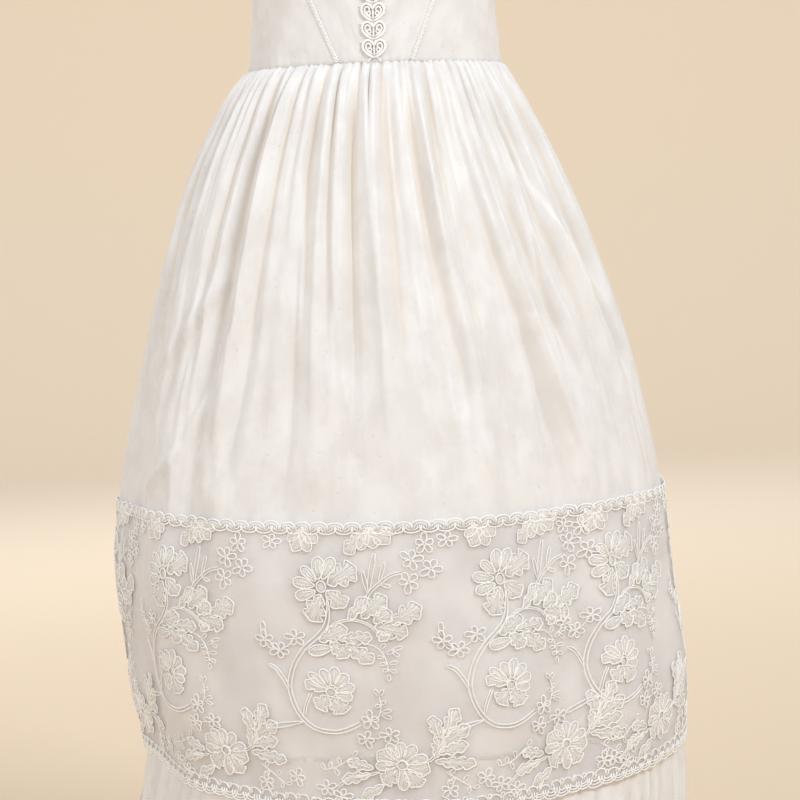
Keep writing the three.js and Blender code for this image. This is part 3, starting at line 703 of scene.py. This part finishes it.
def edging(word, pitch, scallop, line):
    """The two halves of an edging, drawn scallop by scallop, along a line of the skirt that is
    given by its drop at each turn."""
    count, half = round(180 / pitch), TRIM_LENGTH / 2
    for where, middle in HALVES:
        drawing = Drawing()
        random = np.random.default_rng(count + middle)
        for k in range(count):
            scallop(drawing, (k + 0.5) * TRIM_LENGTH / count - half, TRIM_LENGTH / count, random)

        def laid(across, up, out):
            turn = middle + np.clip(across, -half + 0.2, half - 0.2) / half * 90
            return on_skirt(turn, line(turn) - up, CORD_OUT + out)

        piece = drawing.lay(f"{word}_cords_{where}", laid)
        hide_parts(f"{word}_{where}")
        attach(piece, "root")


def heading_scallop(drawing, at, pitch, random):
    low, tall = -3.2, 7.4 + random.uniform(-0.5, 0.5)
    lean = random.uniform(-0.5, 0.5)
    drawing.cord(arch(at, low + 1.2, pitch * 0.56, tall - 1.2, 8, lean), 0.5, 0.9)
    drawing.cord(arch(at, low + 1.6, pitch * 0.36, tall - 3.4, 7, lean), 0.42, 0.75)
    under = arch(at + pitch / 2, 0, pitch * 0.56, 5.4, 8, -lean)
    drawing.cord([(x, 1.6 - y) for x, y in under], 0.5, 0.5)
    inner = arch(at + pitch / 2, 0, pitch * 0.34, 3.2, 7, -lean)
    drawing.cord([(x, 1.2 - y) for x, y in inner], 0.42, 0.5)
    peak = [(at - pitch * 0.2, low + 2.2), (at, low + 3.8), (at + pitch * 0.2, low + 2.2)]
    drawing.cord(peak, 0.4, 0.6)


edging("lace_heading", HEADING_PITCH, heading_scallop, lace_top)

# LOWER BORDER. A dense edging along the net's lower edge: overlapping scallops of cord, each
# with smaller loops and a knot inside it.
BORDER_PITCH = 360 / 130


def border_scallop(drawing, at, pitch, random):
    tall = 11.5 + random.uniform(-1.5, 2)
    lean = random.uniform(-1, 1)
    for size, wide, out in ((1, 0.72, 0.9), (0.72, 0.5, 0.7), (0.42, 0.28, 0.8)):
        lobe = arch(at, 0, pitch * wide, tall * size * 0.55, 8, lean)
        drawing.cord([(x, -y + 3) for x, y in lobe], 0.5, out)
    upper = arch(at + pitch * 0.4, 2.2, pitch * 0.45, tall * 0.42, 7, -lean)
    drawing.cord(upper, 0.46, 0.6)
    knot = (at + random.uniform(-1, 1), random.uniform(1.5, 4.5))
    drawing.petal(knot, (knot[0] + random.uniform(-2, 2), knot[1] + 3.8), 2.8, 0.4, False, steps=4)


edging("lace_border", BORDER_PITCH, border_scallop, lambda turn: lace_edge(turn) - 2.5)

# SPRAYS. Ten sprays of flowers worked in cord on the net: two large flowers on a scrolling stem,
# with leaves, small open blossoms and looped tendrils. They are all worked from one drawing.
SPRAY_TURNS = (-53, -15, 20, 47, 84, 122, 158, 194, 232, 270)
FLAT_TURN = 0.325  # degrees round the skirt for one millimetre across a drawing
FLAT_FOOT, FLAT_HEIGHT = 8, 190  # the lace's edge below a drawing's foot line, and its height


def on_lace(middle):
    """The lace about one spray, as a surface for a drawing."""
    def surface(across, up, out):
        turn = middle + across * FLAT_TURN
        drop = mix(lace_edge(turn), lace_top(turn), (up + FLAT_FOOT) / FLAT_HEIGHT)
        return on_skirt(turn, drop, CORD_OUT + out)
    return surface


def lay_round(drawing, word, replaced=None):
    """One drawing worked ten times round the lace."""
    for k, middle in enumerate(SPRAY_TURNS):
        spray = drawing.lay(f"corded_{word}_{k + 1:02d}", on_lace(middle))
        if replaced:
            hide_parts(f"{replaced}_{k + 1:02d}")
        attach(spray, "root")


def pairs(drawing, stops, steps, gap, radius=0.45):
    """A stem of two cords side by side."""
    line = curve(stops, steps)
    way = directions(line, False)
    side = np.column_stack([-way[:, 1], way[:, 0]]) / np.linalg.norm(way, axis=1, keepdims=True)
    taper = np.minimum(1, np.linspace(0.25, 6, steps))[:, None]
    drawing.cord(line + side * gap / 2 * taper, radius)
    drawing.cord(line - side * gap / 2 * taper, radius)


def tendril(drawing, stops, loops):
    """A thin cord with small loops standing off it, each from its root to its tip."""
    drawing.cord(curve(stops, 10), 0.38)
    for root, tip in loops:
        drawing.petal(root, tip, 2.6, 0.34, False, steps=4)


def leaf(drawing, root, tip, width, lobes=0):
    """A leaf: a corded outline, lobed or plain, with a vein and side veins."""
    drawing.petal(root, tip, width, 0.5, True, lobes=lobes)
    root, tip = np.array(root, float), np.array(tip, float)
    way = tip - root
    side = np.array([-way[1], way[0]]) / np.linalg.norm(way) * width
    drawing.cord([root, mix(root, tip, 0.4), mix(root, tip, 0.85)], 0.38, 0.7, sides=3)
    for share in (0.25, 0.5) if lobes else ():
        for turn in (-0.3, 0.3):
            vein = [root + way * share, root + way * (share + 0.22) + side * turn]
            drawing.cord(vein, 0.32, 0.55, sides=3)


def main_spray():
    """The large spray, in rough millimetres across from its middle and up from its foot line."""
    d = Drawing()
    # stem of two cords, from the upper flower down to the foot and out to the right
    pairs(d, [(4, 136.5), (3.5, 126.5), (0.5, 117.5), (-6, 110), (-14.5, 102.5), (-22, 92),
              (-26, 81.5), (-27, 73.5), (-25, 63.5), (-21, 55), (-14, 48.5), (-3.5, 46.5),
              (5.5, 48.5), (14, 53)], 30, 2.3)
    pairs(d, [(-20.5, 55), (-18.5, 62.5), (-16.5, 67.5), (-14, 72.5)], 7, 1.5, 0.38)
    pairs(d, [(-39.5, 90.5), (-34.5, 88), (-30.5, 81.5), (-27.5, 74.5)], 8, 2.0, 0.42)
    d.petal((-20.5, 53), (-47, 46.5), 3.4, 0.42, False)
    # upper flower: narrow open petals to the left, and three lobed ones to the right and below
    for root, tip, width, lobes in (
        ((-0.5, 148.5), (-0.5, 164.5), 8.6, 0), ((2, 148.5), (9, 164), 8.4, 0),
        ((-2, 147.5), (-11, 157.5), 6.5, 0), ((-3, 144.5), (-17, 147.5), 8.2, 0),
        ((-2.5, 141), (-16, 136.5), 8.0, 0), ((5, 146), (23.5, 157.5), 15, 3),
        ((4.5, 141.5), (15, 130), 11.5, 2), ((0.5, 138.5), (-8, 120), 13, 3),
    ):
        d.petal(root, tip, width, 0.5, True, notch=0.05, lobes=lobes, rays=2)
    d.oval(1, 144, 2.9, 3.8)
    # lower flower
    for root, tip, width, lobes in (
        ((-2.5, 77), (-5.5, 89.5), 7.0, 0), ((-0.5, 77.5), (3, 91), 7.2, 0),
        ((1, 76.5), (10, 86), 7.4, 0), ((1.5, 74), (13.5, 78), 7.4, 0), ((1, 72), (11.5, 70), 7.2, 0),
        ((-1, 70), (5.5, 59), 12, 3), ((-3.5, 70.5), (-11.5, 62), 10.5, 2),
        ((-4.5, 74.5), (-17.5, 80.5), 8.5, 2), ((-3.5, 76), (-14.5, 86.5), 6.4, 0),
    ):
        d.petal(root, tip, width, 0.5, True, notch=0.05, lobes=lobes, rays=1)
    d.oval(-1.5, 73.5, 3.0, 3.0)
    # the arching leaf stem, with lobed leaves above and below it
    pairs(d, [(2, 116), (8, 120), (15.5, 122), (22.5, 121), (28, 118), (31.5, 112.5)], 11, 1.2, 0.4)
    for root, tip, width, lobes in (
        ((14.5, 121.5), (28, 137), 7.5, 2), ((23, 123.5), (39.5, 137.5), 11, 3),
        ((30, 120.5), (41.5, 127.5), 9, 2), ((40.5, 119.5), (59, 130.5), 12, 3),
        ((30.5, 118), (49, 112.5), 11.5, 4), ((31.5, 114), (36.5, 108.5), 7, 2),
        ((-4.5, 108), (13.5, 116.5), 10.5, 3), ((7.5, 109.5), (27.5, 110), 9, 4),
        ((2.5, 107), (11.5, 97), 10.5, 3), ((11.5, 106), (26, 93.5), 10.5, 3),
        ((3, 103.5), (-12, 100), 8, 0),
    ):
        leaf(d, root, tip, width, lobes)
    # twigs, up to the right
    pairs(d, [(24, 126), (28.5, 138), (35.5, 145.5), (43, 151), (50, 153)], 13, 1.7, 0.38)
    for root, tip, width in (
        ((29, 139), (34, 166.5), 3.4), ((29, 139), (26.5, 154.5), 2.6),
        ((36, 145.5), (40, 160.5), 2.6), ((36.5, 145.5), (43, 143.5), 2.4),
    ):
        d.petal(root, tip, width, 0.36, False, steps=5)
    for centre, size, start in (
        ((55.5, 161), 7, 75), ((53.5, 146.5), 7, 110), ((67, 154.5), 7, 60), ((63.5, 171), 6.5, 90),
    ):
        d.blossom(centre, size, start)
    # blossoms on the left, joined by a thread
    for centre, size, start in (
        ((-39, 107), 6.4, 95), ((-30.5, 100.5), 6.2, 60), ((-19, 109.5), 6.2, 100),
    ):
        d.blossom(centre, size, start)
    d.cord([(-38, 105), (-34, 103), (-30.5, 100.5), (-24, 104), (-19, 109.5)], 0.36)
    d.petal((-39, 110.5), (-39, 119.5), 3.6, 0.36, False, steps=5)
    # looped tendrils
    tendril(d, [(21, 106.5), (28.5, 104.5), (33, 99), (34.5, 91.5), (34.5, 86)], (
        ((31.5, 102.5), (35, 106.5)), ((34.5, 99), (40, 102)), ((37, 101.5), (45, 104)),
        ((38.5, 101), (42, 97.5)), ((33, 97.5), (29, 97)), ((34, 93), (30, 92.5)),
        ((35, 93), (41, 94)), ((34.5, 89), (31, 88)), ((35, 89), (39.5, 87)), ((34.5, 86), (34, 81.5))))
    tendril(d, [(14, 53), (20, 55), (25, 57), (27.5, 64.5), (27, 71.5)], (
        ((27, 71.5), (24.5, 76)), ((27, 71.5), (30, 75.5)), ((27, 65.5), (24, 64)), ((27.5, 66), (30.5, 68)),
        ((27, 60.5), (33.5, 62)), ((27, 59), (33, 56.5))))
    for centre, size, start in (((20, 55), 6.2, 90), ((15.5, 42), 5.6, 70), ((30.5, 45), 5.8, 100)):
        d.blossom(centre, size, start)
    d.cord([(15.5, 42), (23, 43), (30.5, 45)], 0.36)
    return d


lay_round(main_spray(), "spray", "spray")

# BORDER SPRAYS. Between the large sprays, a flower stands low on the border with a branch of
# lobed leaves to each side, all in the same corded work.


def border_spray():
    d = Drawing()
    d.flower((36, 25), (
        (36, 41, 0), (28, 40, 0), (45, 39, 0), (52, 31, 0), (53, 21, 2), (21, 34, 2), (19, 24, 0),
        (23, 12, 3), (36, 7, 0), (47, 10, 3)), 7.4, 3)
    for root, tip, width, lobes in (
        ((56, 30), (60, 44), 7.5, 3), ((60, 40), (57, 58), 8, 3), ((62, 44), (72, 62), 8.5, 3),
        ((60, 38), (78, 50), 8.5, 3), ((58, 33), (76, 38), 8, 3), ((56, 28), (80, 24), 8.5, 4),
        ((18, 22), (3, 27), 7.5, 3), ((16, 18), (-2, 14), 7.5, 3), ((24, 11), (10, 2), 7.5, 2),
    ):
        leaf(d, root, tip, width, lobes)
    pairs(d, [(48, 26), (55, 30), (61, 40), (66, 52), (68, 62)], 11, 1.4, 0.4)
    pairs(d, [(22, 20), (12, 17), (2, 15), (-8, 6)], 9, 1.4, 0.4)
    tendril(d, [(-14, 20), (-4, 23), (6, 30)], (
        ((-12, 20), (-14, 25)), ((-9, 21), (-8, 26)), ((-6, 22), (-4, 17)), ((-2, 24), (-3, 29)),
        ((2, 27), (6, 24)), ((6, 30), (9, 34))))
    tendril(d, [(62, 20), (70, 14), (78, 8)], (
        ((64, 18), (67, 22)), ((67, 16), (64, 12)), ((72, 13), (75, 17)), ((76, 9), (75, 5)),
        ((78, 8), (82, 9))))
    for centre, start in (((64, 8), 90), ((86, 14), 70), ((-12, 8), 100), ((-2, 3), 80)):
        d.blossom(centre, 6, start)
    return d


lay_round(border_spray(), "border_spray", "border_spray")

# HALF MOTIFS. Small blossoms and a lobed leaf hang from the heading between the sprays, where
# the width of lace was cut through its pattern.


def half_motif():
    d = Drawing()
    d.blossom((-31, 173), 6, 80)
    for root, tip, width, lobes in (
        ((-11, 181), (-20, 174), 6, 0), ((-11, 181), (-16, 167), 8.5, 2), ((-11, 181), (-6, 167), 8, 0),
        ((-11, 181), (-1, 173), 7.5, 2), ((30, 182), (16, 166), 9.5, 3), ((30, 182), (25, 168), 8, 0),
        ((30, 182), (34, 169), 9, 2), ((30, 182), (43, 172), 9, 2), ((30, 182), (47, 179), 6, 0),
    ):
        d.petal(root, tip, width, 0.44, True, lobes=lobes, rays=1)
    return d


lay_round(half_motif(), "half_motif")

# BODICE. Five shaped panels of the same silk, closely fitted: a front centre panel, a side
# panel each side of it, and two back panels that lap at the centre back.
# rise, half width and half depth of each ring
TORSO_RINGS = np.array([(0, 91, 66), (20, 89, 64.5), (49, 87, 63), (90, 88, 62)], float)
# a girth is a height up the bodice: millimetres as far as the chest, and then degrees of a dome
CHEST, RIDGE = 90, 180
DOME, DOME_SPREAD, SHOULDER_SLOPE = 78, 4, 10
# rise and half width of the slanting seam with the front armhole, and of the back armhole
FRONT_EDGE = np.array([(0, 25), (60, 48.6), (118, 71), (134, 73.5), (148, 77.5), (168, 83)], float)
BACK_EDGE = np.array([(88, 87.9), (98, 80), (115, 75), (140, 76), (168, 83)], float)
# the neck's share of the front's width, and the girths at its lowest points
NECK_SHARE, FRONT_NECK, BACK_NECK = 0.5, 115, 140
# the gap at a seam in millimetres and in degrees, and the girths where an armhole meets its seams
SEAM, SEAM_TURN, SEAM_TOP, UNDERARM = 0.3, 0.1, 111, 88
OVERLAP, OVERLAP_LIFT = 7, 3.2  # degrees that the backs lap, and how far out the upper one lies


def torso(turn, girth):
    """The bodice's form: rings up to the chest, and a dome from there to the shoulders."""
    t = np.radians(turn)
    dome = np.radians(np.maximum(0, girth - CHEST))
    rise = np.minimum(girth, CHEST)
    x = (read(TORSO_RINGS, rise, 1) + DOME_SPREAD * np.sin(dome)) * np.sin(t)
    y = -read(TORSO_RINGS, rise, 2) * np.cos(dome) * np.cos(t)
    fall = SHOULDER_SLOPE * (x / 88) ** 2 * np.sin(dome)
    return np.stack([x, y, WAIST_Z + rise + DOME * np.sin(dome) - fall], axis=-1)


def on_torso(turn, girth, out):
    """Points of the bodice's form, moved out, with front and back kept apart at the middle."""
    turn, girth, out = np.broadcast_arrays(turn, girth, out)
    place = torso(turn, girth) - outward(torso, turn, girth) * out[..., None]
    front = np.cos(np.radians(turn)) > 0
    y = place[..., 1]
    place[..., 1] = np.where(front, np.minimum(y, -SEAM / 2), np.maximum(y, SEAM / 2))
    return place


def half_width_of(girth):
    return torso(90.0, girth)[..., 0]


def out_turn(table, girth):
    """The turn of an edge, whose half width is given at each rise, where a girth meets it."""
    rise = np.minimum(girth, CHEST) + DOME * np.sin(np.radians(np.maximum(0, girth - CHEST)))
    return np.degrees(np.arcsin(np.minimum(1, read(table, rise, 1) / half_width_of(girth))))


def front_edge(girth):
    return out_turn(FRONT_EDGE, girth)


def back_edge(girth):
    return 180 - np.where(girth <= UNDERARM, 90, out_turn(BACK_EDGE, girth))


def back_neck_share():
    seam = 180 - NECK_SHARE * front_edge(np.float64(RIDGE))
    edge = back_edge(np.float64(RIDGE))
    return (seam - edge) / (180 + OVERLAP - edge)


def front_top(share):
    return mix(FRONT_NECK, RIDGE, np.minimum(1, np.abs(share) / NECK_SHARE) ** 2.2)


def back_top(share):
    return mix(BACK_NECK, RIDGE, np.minimum(1, (1 - share) / (1 - back_neck_share())) ** 2.2)


def armhole_top(share):
    return mix(UNDERARM, SEAM_TOP, (1 - share) ** 2)


def lap(share):
    """How far out the upper back panel lies, where it laps over the lower one."""
    return OVERLAP_LIFT * ease(share, 0.6, 0.74)


def bodice_panel(name, columns, turn_at, top_at, replaced, flat, low=0.0, lift=None):
    """A bodice panel with soft drag lines, from the turn at each share across and its top."""
    share, up = np.meshgrid(np.linspace(low, 1, columns), np.linspace(1, 0, 64))
    girth = mix(SEAM, top_at(share), up)
    turn = turn_at(share, girth)
    x = torso(turn, girth)[..., 0]
    drag = crumple(x + girth * 0.7, girth * 0.5 - x * 0.3, 46, 12, 21) * 0.35
    pucker = -1.5 * (1 - ease(girth, 0, 2.5)) + 0.25 * np.sin(x * 1.1) * (1 - ease(girth, 2, 16))
    out = drag * ease(girth, 4, 25) + pucker + (lift(share) if lift else 0)
    panel = cloth(name, on_torso(turn, girth, out), flat)
    panel.data.materials.append(silk)
    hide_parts(replaced)
    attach(panel, "root")


bodice_panel(
    "silk_bodice_front", 97, lambda share, girth: share * (front_edge(girth) - SEAM_TURN),
    front_top, "bodice_front_centre", (0.15, 0.19), low=-1.0,
)
for word, side in (("left", 1), ("right", -1)):
    bodice_panel(
        f"silk_bodice_side_{word}", 49,
        lambda share, girth: side * mix(front_edge(girth) + SEAM_TURN, 90 - SEAM_TURN, share),
        armhole_top, f"bodice_front_side_{word}", (0.09, 0.112),
    )
    bodice_panel(
        f"silk_bodice_back_{word}", 81,
        lambda share, girth: side * mix(back_edge(girth) + SEAM_TURN, 180 + OVERLAP, share),
        back_top, f"bodice_back_{word}", (0.14, 0.19),
        lift=lap if side < 0 else None,
    )

# SEAM INSERTIONS. A narrow openwork ladder of thread joins the front panels along each slanting
# seam: a flat tape with a row of small thread rings worked on it.


def on_bodice(across, up, out):
    """The bodice's front as a surface for a drawing: across and rise from the waist."""
    over = np.clip((up - CHEST) / DOME, 0, 1)
    girth = np.where(up <= CHEST, up, CHEST + np.degrees(np.arcsin(over)))
    turn = np.degrees(np.arcsin(np.clip(across / half_width_of(girth), -1, 1)))
    return on_torso(turn, girth, out + 0.3)


for word, side in (("left", 1), ("right", -1)):
    d = Drawing()
    rises = np.linspace(2, 114, 46)
    outs = read(FRONT_EDGE, rises, 1)
    d.cord([(side * o, r) for o, r in zip(outs, rises)], 1.25, 0.2, flat=0.12)
    for r, o in zip(rises[:-1], outs[:-1]):
        d.cord(ring(side * (o + 0.5), r + 1.2, 1.25, 0.95, 8), 0.42, 0.5, loop=True)
    ladder = d.lay(f"openwork_seam_{word}", on_bodice)
    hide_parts(f"insertion_{word}")
    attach(ladder, "root")

# HEART TRIM. A chain of openwork hearts of corded lace, sewn down the middle of the bodice.
# Each heart has scrolled cords with small round gaps between them.
HEARTS, HEART_PITCH, HEART_START = 9, 12.6, 4
d = Drawing()
for k in range(HEARTS):
    base = HEART_START + k * HEART_PITCH
    top = base + HEART_PITCH
    for s in (-1, 1):
        lobe = [(0, 0), (4.6, 2.6), (7.6, 6.6), (7.2, 10.4), (4.2, 12.4), (1.3, 10.6), (0, 8.2)]
        d.cord(curve([(s * x, base + y) for x, y in lobe], 16), 0.95, 0.8)
        inner = [(0.6, 2.2), (4, 4.4), (5.8, 7.6), (4.4, 10.2), (2.4, 9), (2.4, 6.6)]
        d.cord(curve([(s * x, base + y) for x, y in inner], 12), 0.7, 0.7)
        d.cord(ring(s * 2.9, base + 5.6, 1.25, 1.25, 8), 0.6, 0.75, loop=True)
        for a in np.radians((20, 60, 100)):
            x = s * (6.9 + 0.8 * math.cos(a))
            y = base + 7.5 + 4.2 * math.cos(a + math.radians(20))
            d.petal((x, y), (x + s * 1.5, y + 0.4), 1.5, 0.34, False, steps=3)
    d.cord([(0, base + 0.4), (0, base + 4), (0, base + 8.4)], 0.7, 0.8)
    d.petal((0, top - 3.4), (0, top + 0.6), 2.4, 0.5, True, steps=5)
for s in (-1, 1):
    d.cord(curve([(0, 5), (s * 2.6, 3.6), (s * 5, 0.8)], 7), 0.45, 0.6)
hearts = d.lay("openwork_hearts", on_bodice)
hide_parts("heart_trim")
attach(hearts, "root")

# BINDINGS. The neckline and armholes are edged with a narrow bias fold of the silk. It is
# sewn on, rolled over the raw edge and caught down inside by hand.
BINDING_SIDES = 10
HALF_WALL = 0.8  # of the solid that a panel stands for


def binding(name, points, normals, past, replaced, loop):
    """A rolled fold of silk along an edge, with small puckers round it. It stands up from the
    edge towards a place past it."""
    way = directions(points, loop)
    way /= np.linalg.norm(way, axis=1, keepdims=True)
    rise = np.cross(way, normals)
    rise /= np.linalg.norm(rise, axis=1, keepdims=True)
    rise *= np.sign(np.sum(rise * (past - points), axis=1, keepdims=True))
    length = lengths(points)
    sides = []
    for s in range(BINDING_SIDES):
        a = 2 * math.pi * s / BINDING_SIDES
        swell = 1 + 0.06 * np.sin(length * 1.7 + 2 * s)[:, None]
        up, out = 1.75 + 1.5 * math.cos(a) * swell, 1.25 * math.sin(a) * swell
        sides.append(points + rise * up + normals * out)
    grid = np.stack([*sides, sides[0]], axis=1)
    if loop:
        grid = np.concatenate([grid, grid[:1]])
    piece = cloth(name, grid, (0.012, length[-1] / 1000), thickness=0)
    bpy.context.view_layer.objects.active = piece
    bpy.ops.object.select_all(action="DESELECT")
    piece.select_set(True)
    bpy.ops.object.mode_set(mode="EDIT")
    bpy.ops.mesh.select_all(action="SELECT")
    bpy.ops.mesh.remove_doubles(threshold=0.00002)
    if not loop:
        bpy.ops.mesh.select_all(action="DESELECT")
        bpy.ops.mesh.select_non_manifold()
        bpy.ops.mesh.edge_face_add()
    bpy.ops.mesh.select_all(action="SELECT")
    bpy.ops.mesh.normals_make_consistent(inside=False)
    bpy.ops.object.mode_set(mode="OBJECT")
    piece.data.shade_smooth()
    piece.data.materials.append(silk)
    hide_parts(replaced)
    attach(piece, "root")


def edge(turn, girth, lift=0):
    """The points of a panel's edge, at the middle of its solid's wall, and their normals."""
    normal = -outward(torso, turn, girth)
    return torso(turn, girth) + normal * (np.asarray(lift) - HALF_WALL)[..., None], normal


near = np.linspace(-0.97, 0.97, 81) * NECK_SHARE
front_line = edge(near * front_edge(front_top(near)), front_top(near))
back_shares = np.linspace(1 - 0.97 * (1 - back_neck_share()), 1, 41)
lines = []
for side in (-1, 1):
    girth = back_top(back_shares)
    lift = lap(back_shares) if side < 0 else 0 * back_shares
    lines.append(edge(side * mix(back_edge(girth), 180 + OVERLAP, back_shares), girth, lift))
points = np.concatenate([lines[0][0][::-1], front_line[0], lines[1][0]])
normals = np.concatenate([lines[0][1][::-1], front_line[1], lines[1][1]])
binding("silk_neck_binding", points, normals, np.array((0, 0, 20.0)), "neck_binding", False)

for word, side in (("left", 1), ("right", -1)):
    shares = np.linspace(1, 0, 16)[:-1]
    girth = armhole_top(shares)
    first = edge(side * mix(front_edge(girth), 90, shares), girth)
    front_girth = np.linspace(SEAM_TOP, RIDGE - 1.5, 22)
    second = edge(side * front_edge(front_girth), front_girth)
    back_girth = np.linspace(RIDGE - 1.5, UNDERARM + 1, 30)
    third = edge(side * back_edge(back_girth), back_girth)
    points = np.concatenate([first[0], second[0], third[0]])
    normals = np.concatenate([first[1], second[1], third[1]])
    binding(f"silk_armhole_binding_{word}", points, normals, np.array((side * 150, 0, -38.0)),
            f"armhole_binding_{word}", True)

# BUTTONS. Four small pearly domed buttons on the upper back edge, each a flattened ball that is
# sewn down through the cloth.
pearl = Finish("pearl", Roughness=0.25, Coat_Weight=0.6, Coat_Roughness=0.15)
swirl = pearl.noise(pearl.place(), 260, 3)
pearl.feed(Base_Color=pearl.blend(swirl, (0.86, 0.82, 0.78), (0.95, 0.93, 0.9)))
BUTTONS = 4
for row in range(BUTTONS):
    girth = mix(SEAM, BACK_NECK, (row + 0.5) / BUTTONS)
    bpy.ops.object.select_all(action="DESELECT")
    bpy.ops.mesh.primitive_uv_sphere_add(segments=32, ring_count=16, radius=0.0045)
    button = bpy.context.object
    button.name = button.data.name = f"pearl_button_{row + 1}"
    normal = Vector((-outward(torso, np.float64(180), np.float64(girth))).tolist())
    centre = Vector(on_torso(180.0, girth, OVERLAP_LIFT + SEAM + 1.6).tolist()) / 1000
    button.scale = (1, 1, 0.42)
    bpy.ops.object.transform_apply(location=False, rotation=False, scale=True)
    facing = normal.to_track_quat("Z", "Y").to_matrix().to_4x4()
    button.matrix_world = Matrix.Translation(centre) @ facing
    bpy.context.view_layer.update()
    bpy.ops.object.transform_apply(location=True, rotation=True, scale=True)
    button.data.shade_smooth()
    button.data.materials.append(pearl.material)
    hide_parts(f"button_{row + 1}")
    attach(button, "root")

# STUDIO. A plain cream paper bowl all round, its floor painted darker where the gown stands as painted
# shade under it. The strongest light comes from the front right, and soft ones from the other sides.
FLOOR_Z = -0.8035
PAPER_SHADED_FLOOR = (0.71, 0.565, 0.40)
PAPER_WALL = (0.825, 0.69, 0.53)
FLAT_REACH, BEND, WALL_TOP = 4, 1.6, 1.2
SIDES = 72
paper = Finish("paper", Roughness=0.9)
reach = paper.node("ShaderNodeVectorMath", {"operation": "LENGTH"}, {0: paper.place()}, "Value")
# The floor is painted darker towards the middle, as painted shade under the gown.
paper.feed(Base_Color=paper.blend(reach.rise(1.0, 3.3), PAPER_SHADED_FLOOR, PAPER_WALL))
profile = [(0.01, FLOOR_Z), (2, FLOOR_Z), (FLAT_REACH, FLOOR_Z)]
profile += [(FLAT_REACH + BEND * math.sin(a), FLOOR_Z + BEND - BEND * math.cos(a))
            for a in np.linspace(0.1, 1.57, 12)]
profile += [(FLAT_REACH + BEND, WALL_TOP)]
turns = [2 * math.pi * s / SIDES for s in range(SIDES)]
points = [(r * math.cos(t), r * math.sin(t), z) for r, z in profile for t in turns]
faces = [tuple(range(SIDES))]
for k in range(0, SIDES * (len(profile) - 1), SIDES):
    for s in range(SIDES):
        n = (s + 1) % SIDES
        faces.append((k + SIDES + s, k + SIDES + n, k + n, k + s))
sweep_mesh = bpy.data.meshes.new("paper_sweep")
sweep_mesh.from_pydata(points, [], faces)
sweep_mesh.shade_smooth()
sweep_mesh.materials.append(paper.material)
sweep = bpy.data.objects.new("paper_sweep", sweep_mesh)
bpy.context.scene.collection.objects.link(sweep)

WALL_SPOT, GOWN_MIDDLE = (0, 5.6, 0.8), (0, 0, -0.45)
for name, place, energy, size, colour in (
    ("key", (1.5, -1.8, 1.5), 43, 0.8, (0.91, 0.955, 1.0)),
    ("fill", (-2.2, -2.0, 1.1), 30, 2.0, (0.91, 0.95, 1.0)),
    ("top", (0.2, 0.2, 2.2), 13, 2.2, (0.92, 0.955, 1.0)),
    ("back", (-0.6, 2.2, 1.2), 20, 2.0, (0.93, 0.95, 1.0)),
    ("wall", (0, 2.6, 3.0), 58, 3.0, (0.95, 0.96, 1.0)),
):
    light = bpy.data.lights.new(name, "AREA")
    light.energy, light.size, light.color = energy, size, colour
    lamp = bpy.data.objects.new(name, light)
    lamp.location = place
    target = Vector(WALL_SPOT if name == "wall" else GOWN_MIDDLE)
    lamp.rotation_euler = (target - Vector(place)).to_track_quat("-Z", "Y").to_euler()
    bpy.context.scene.collection.objects.link(lamp)

world = bpy.data.worlds.new("studio")
world.use_nodes = True
sky = world.node_tree.nodes["Background"].inputs
sky["Color"].default_value, sky["Strength"].default_value = (0.905, 0.945, 0.99, 1), 0.62
bpy.context.scene.world = world
bpy.context.scene.view_settings.view_transform = "Standard"

AIM, EYE, ROLL = Vector((0.009, 0, -0.403)), Vector((0.009, -1.8, -0.285)), math.radians(-2.1)
lens = bpy.data.cameras.new("camera")
lens.lens, lens.sensor_width = 112, 36
camera = bpy.data.objects.new("camera", lens)
bpy.context.scene.collection.objects.link(camera)
look = (AIM - EYE).to_track_quat("-Z", "Y").to_matrix().to_4x4()
camera.matrix_world = Matrix.Translation(EYE) @ look @ Matrix.Rotation(ROLL, 4, "Z")
bpy.context.scene.camera = camera
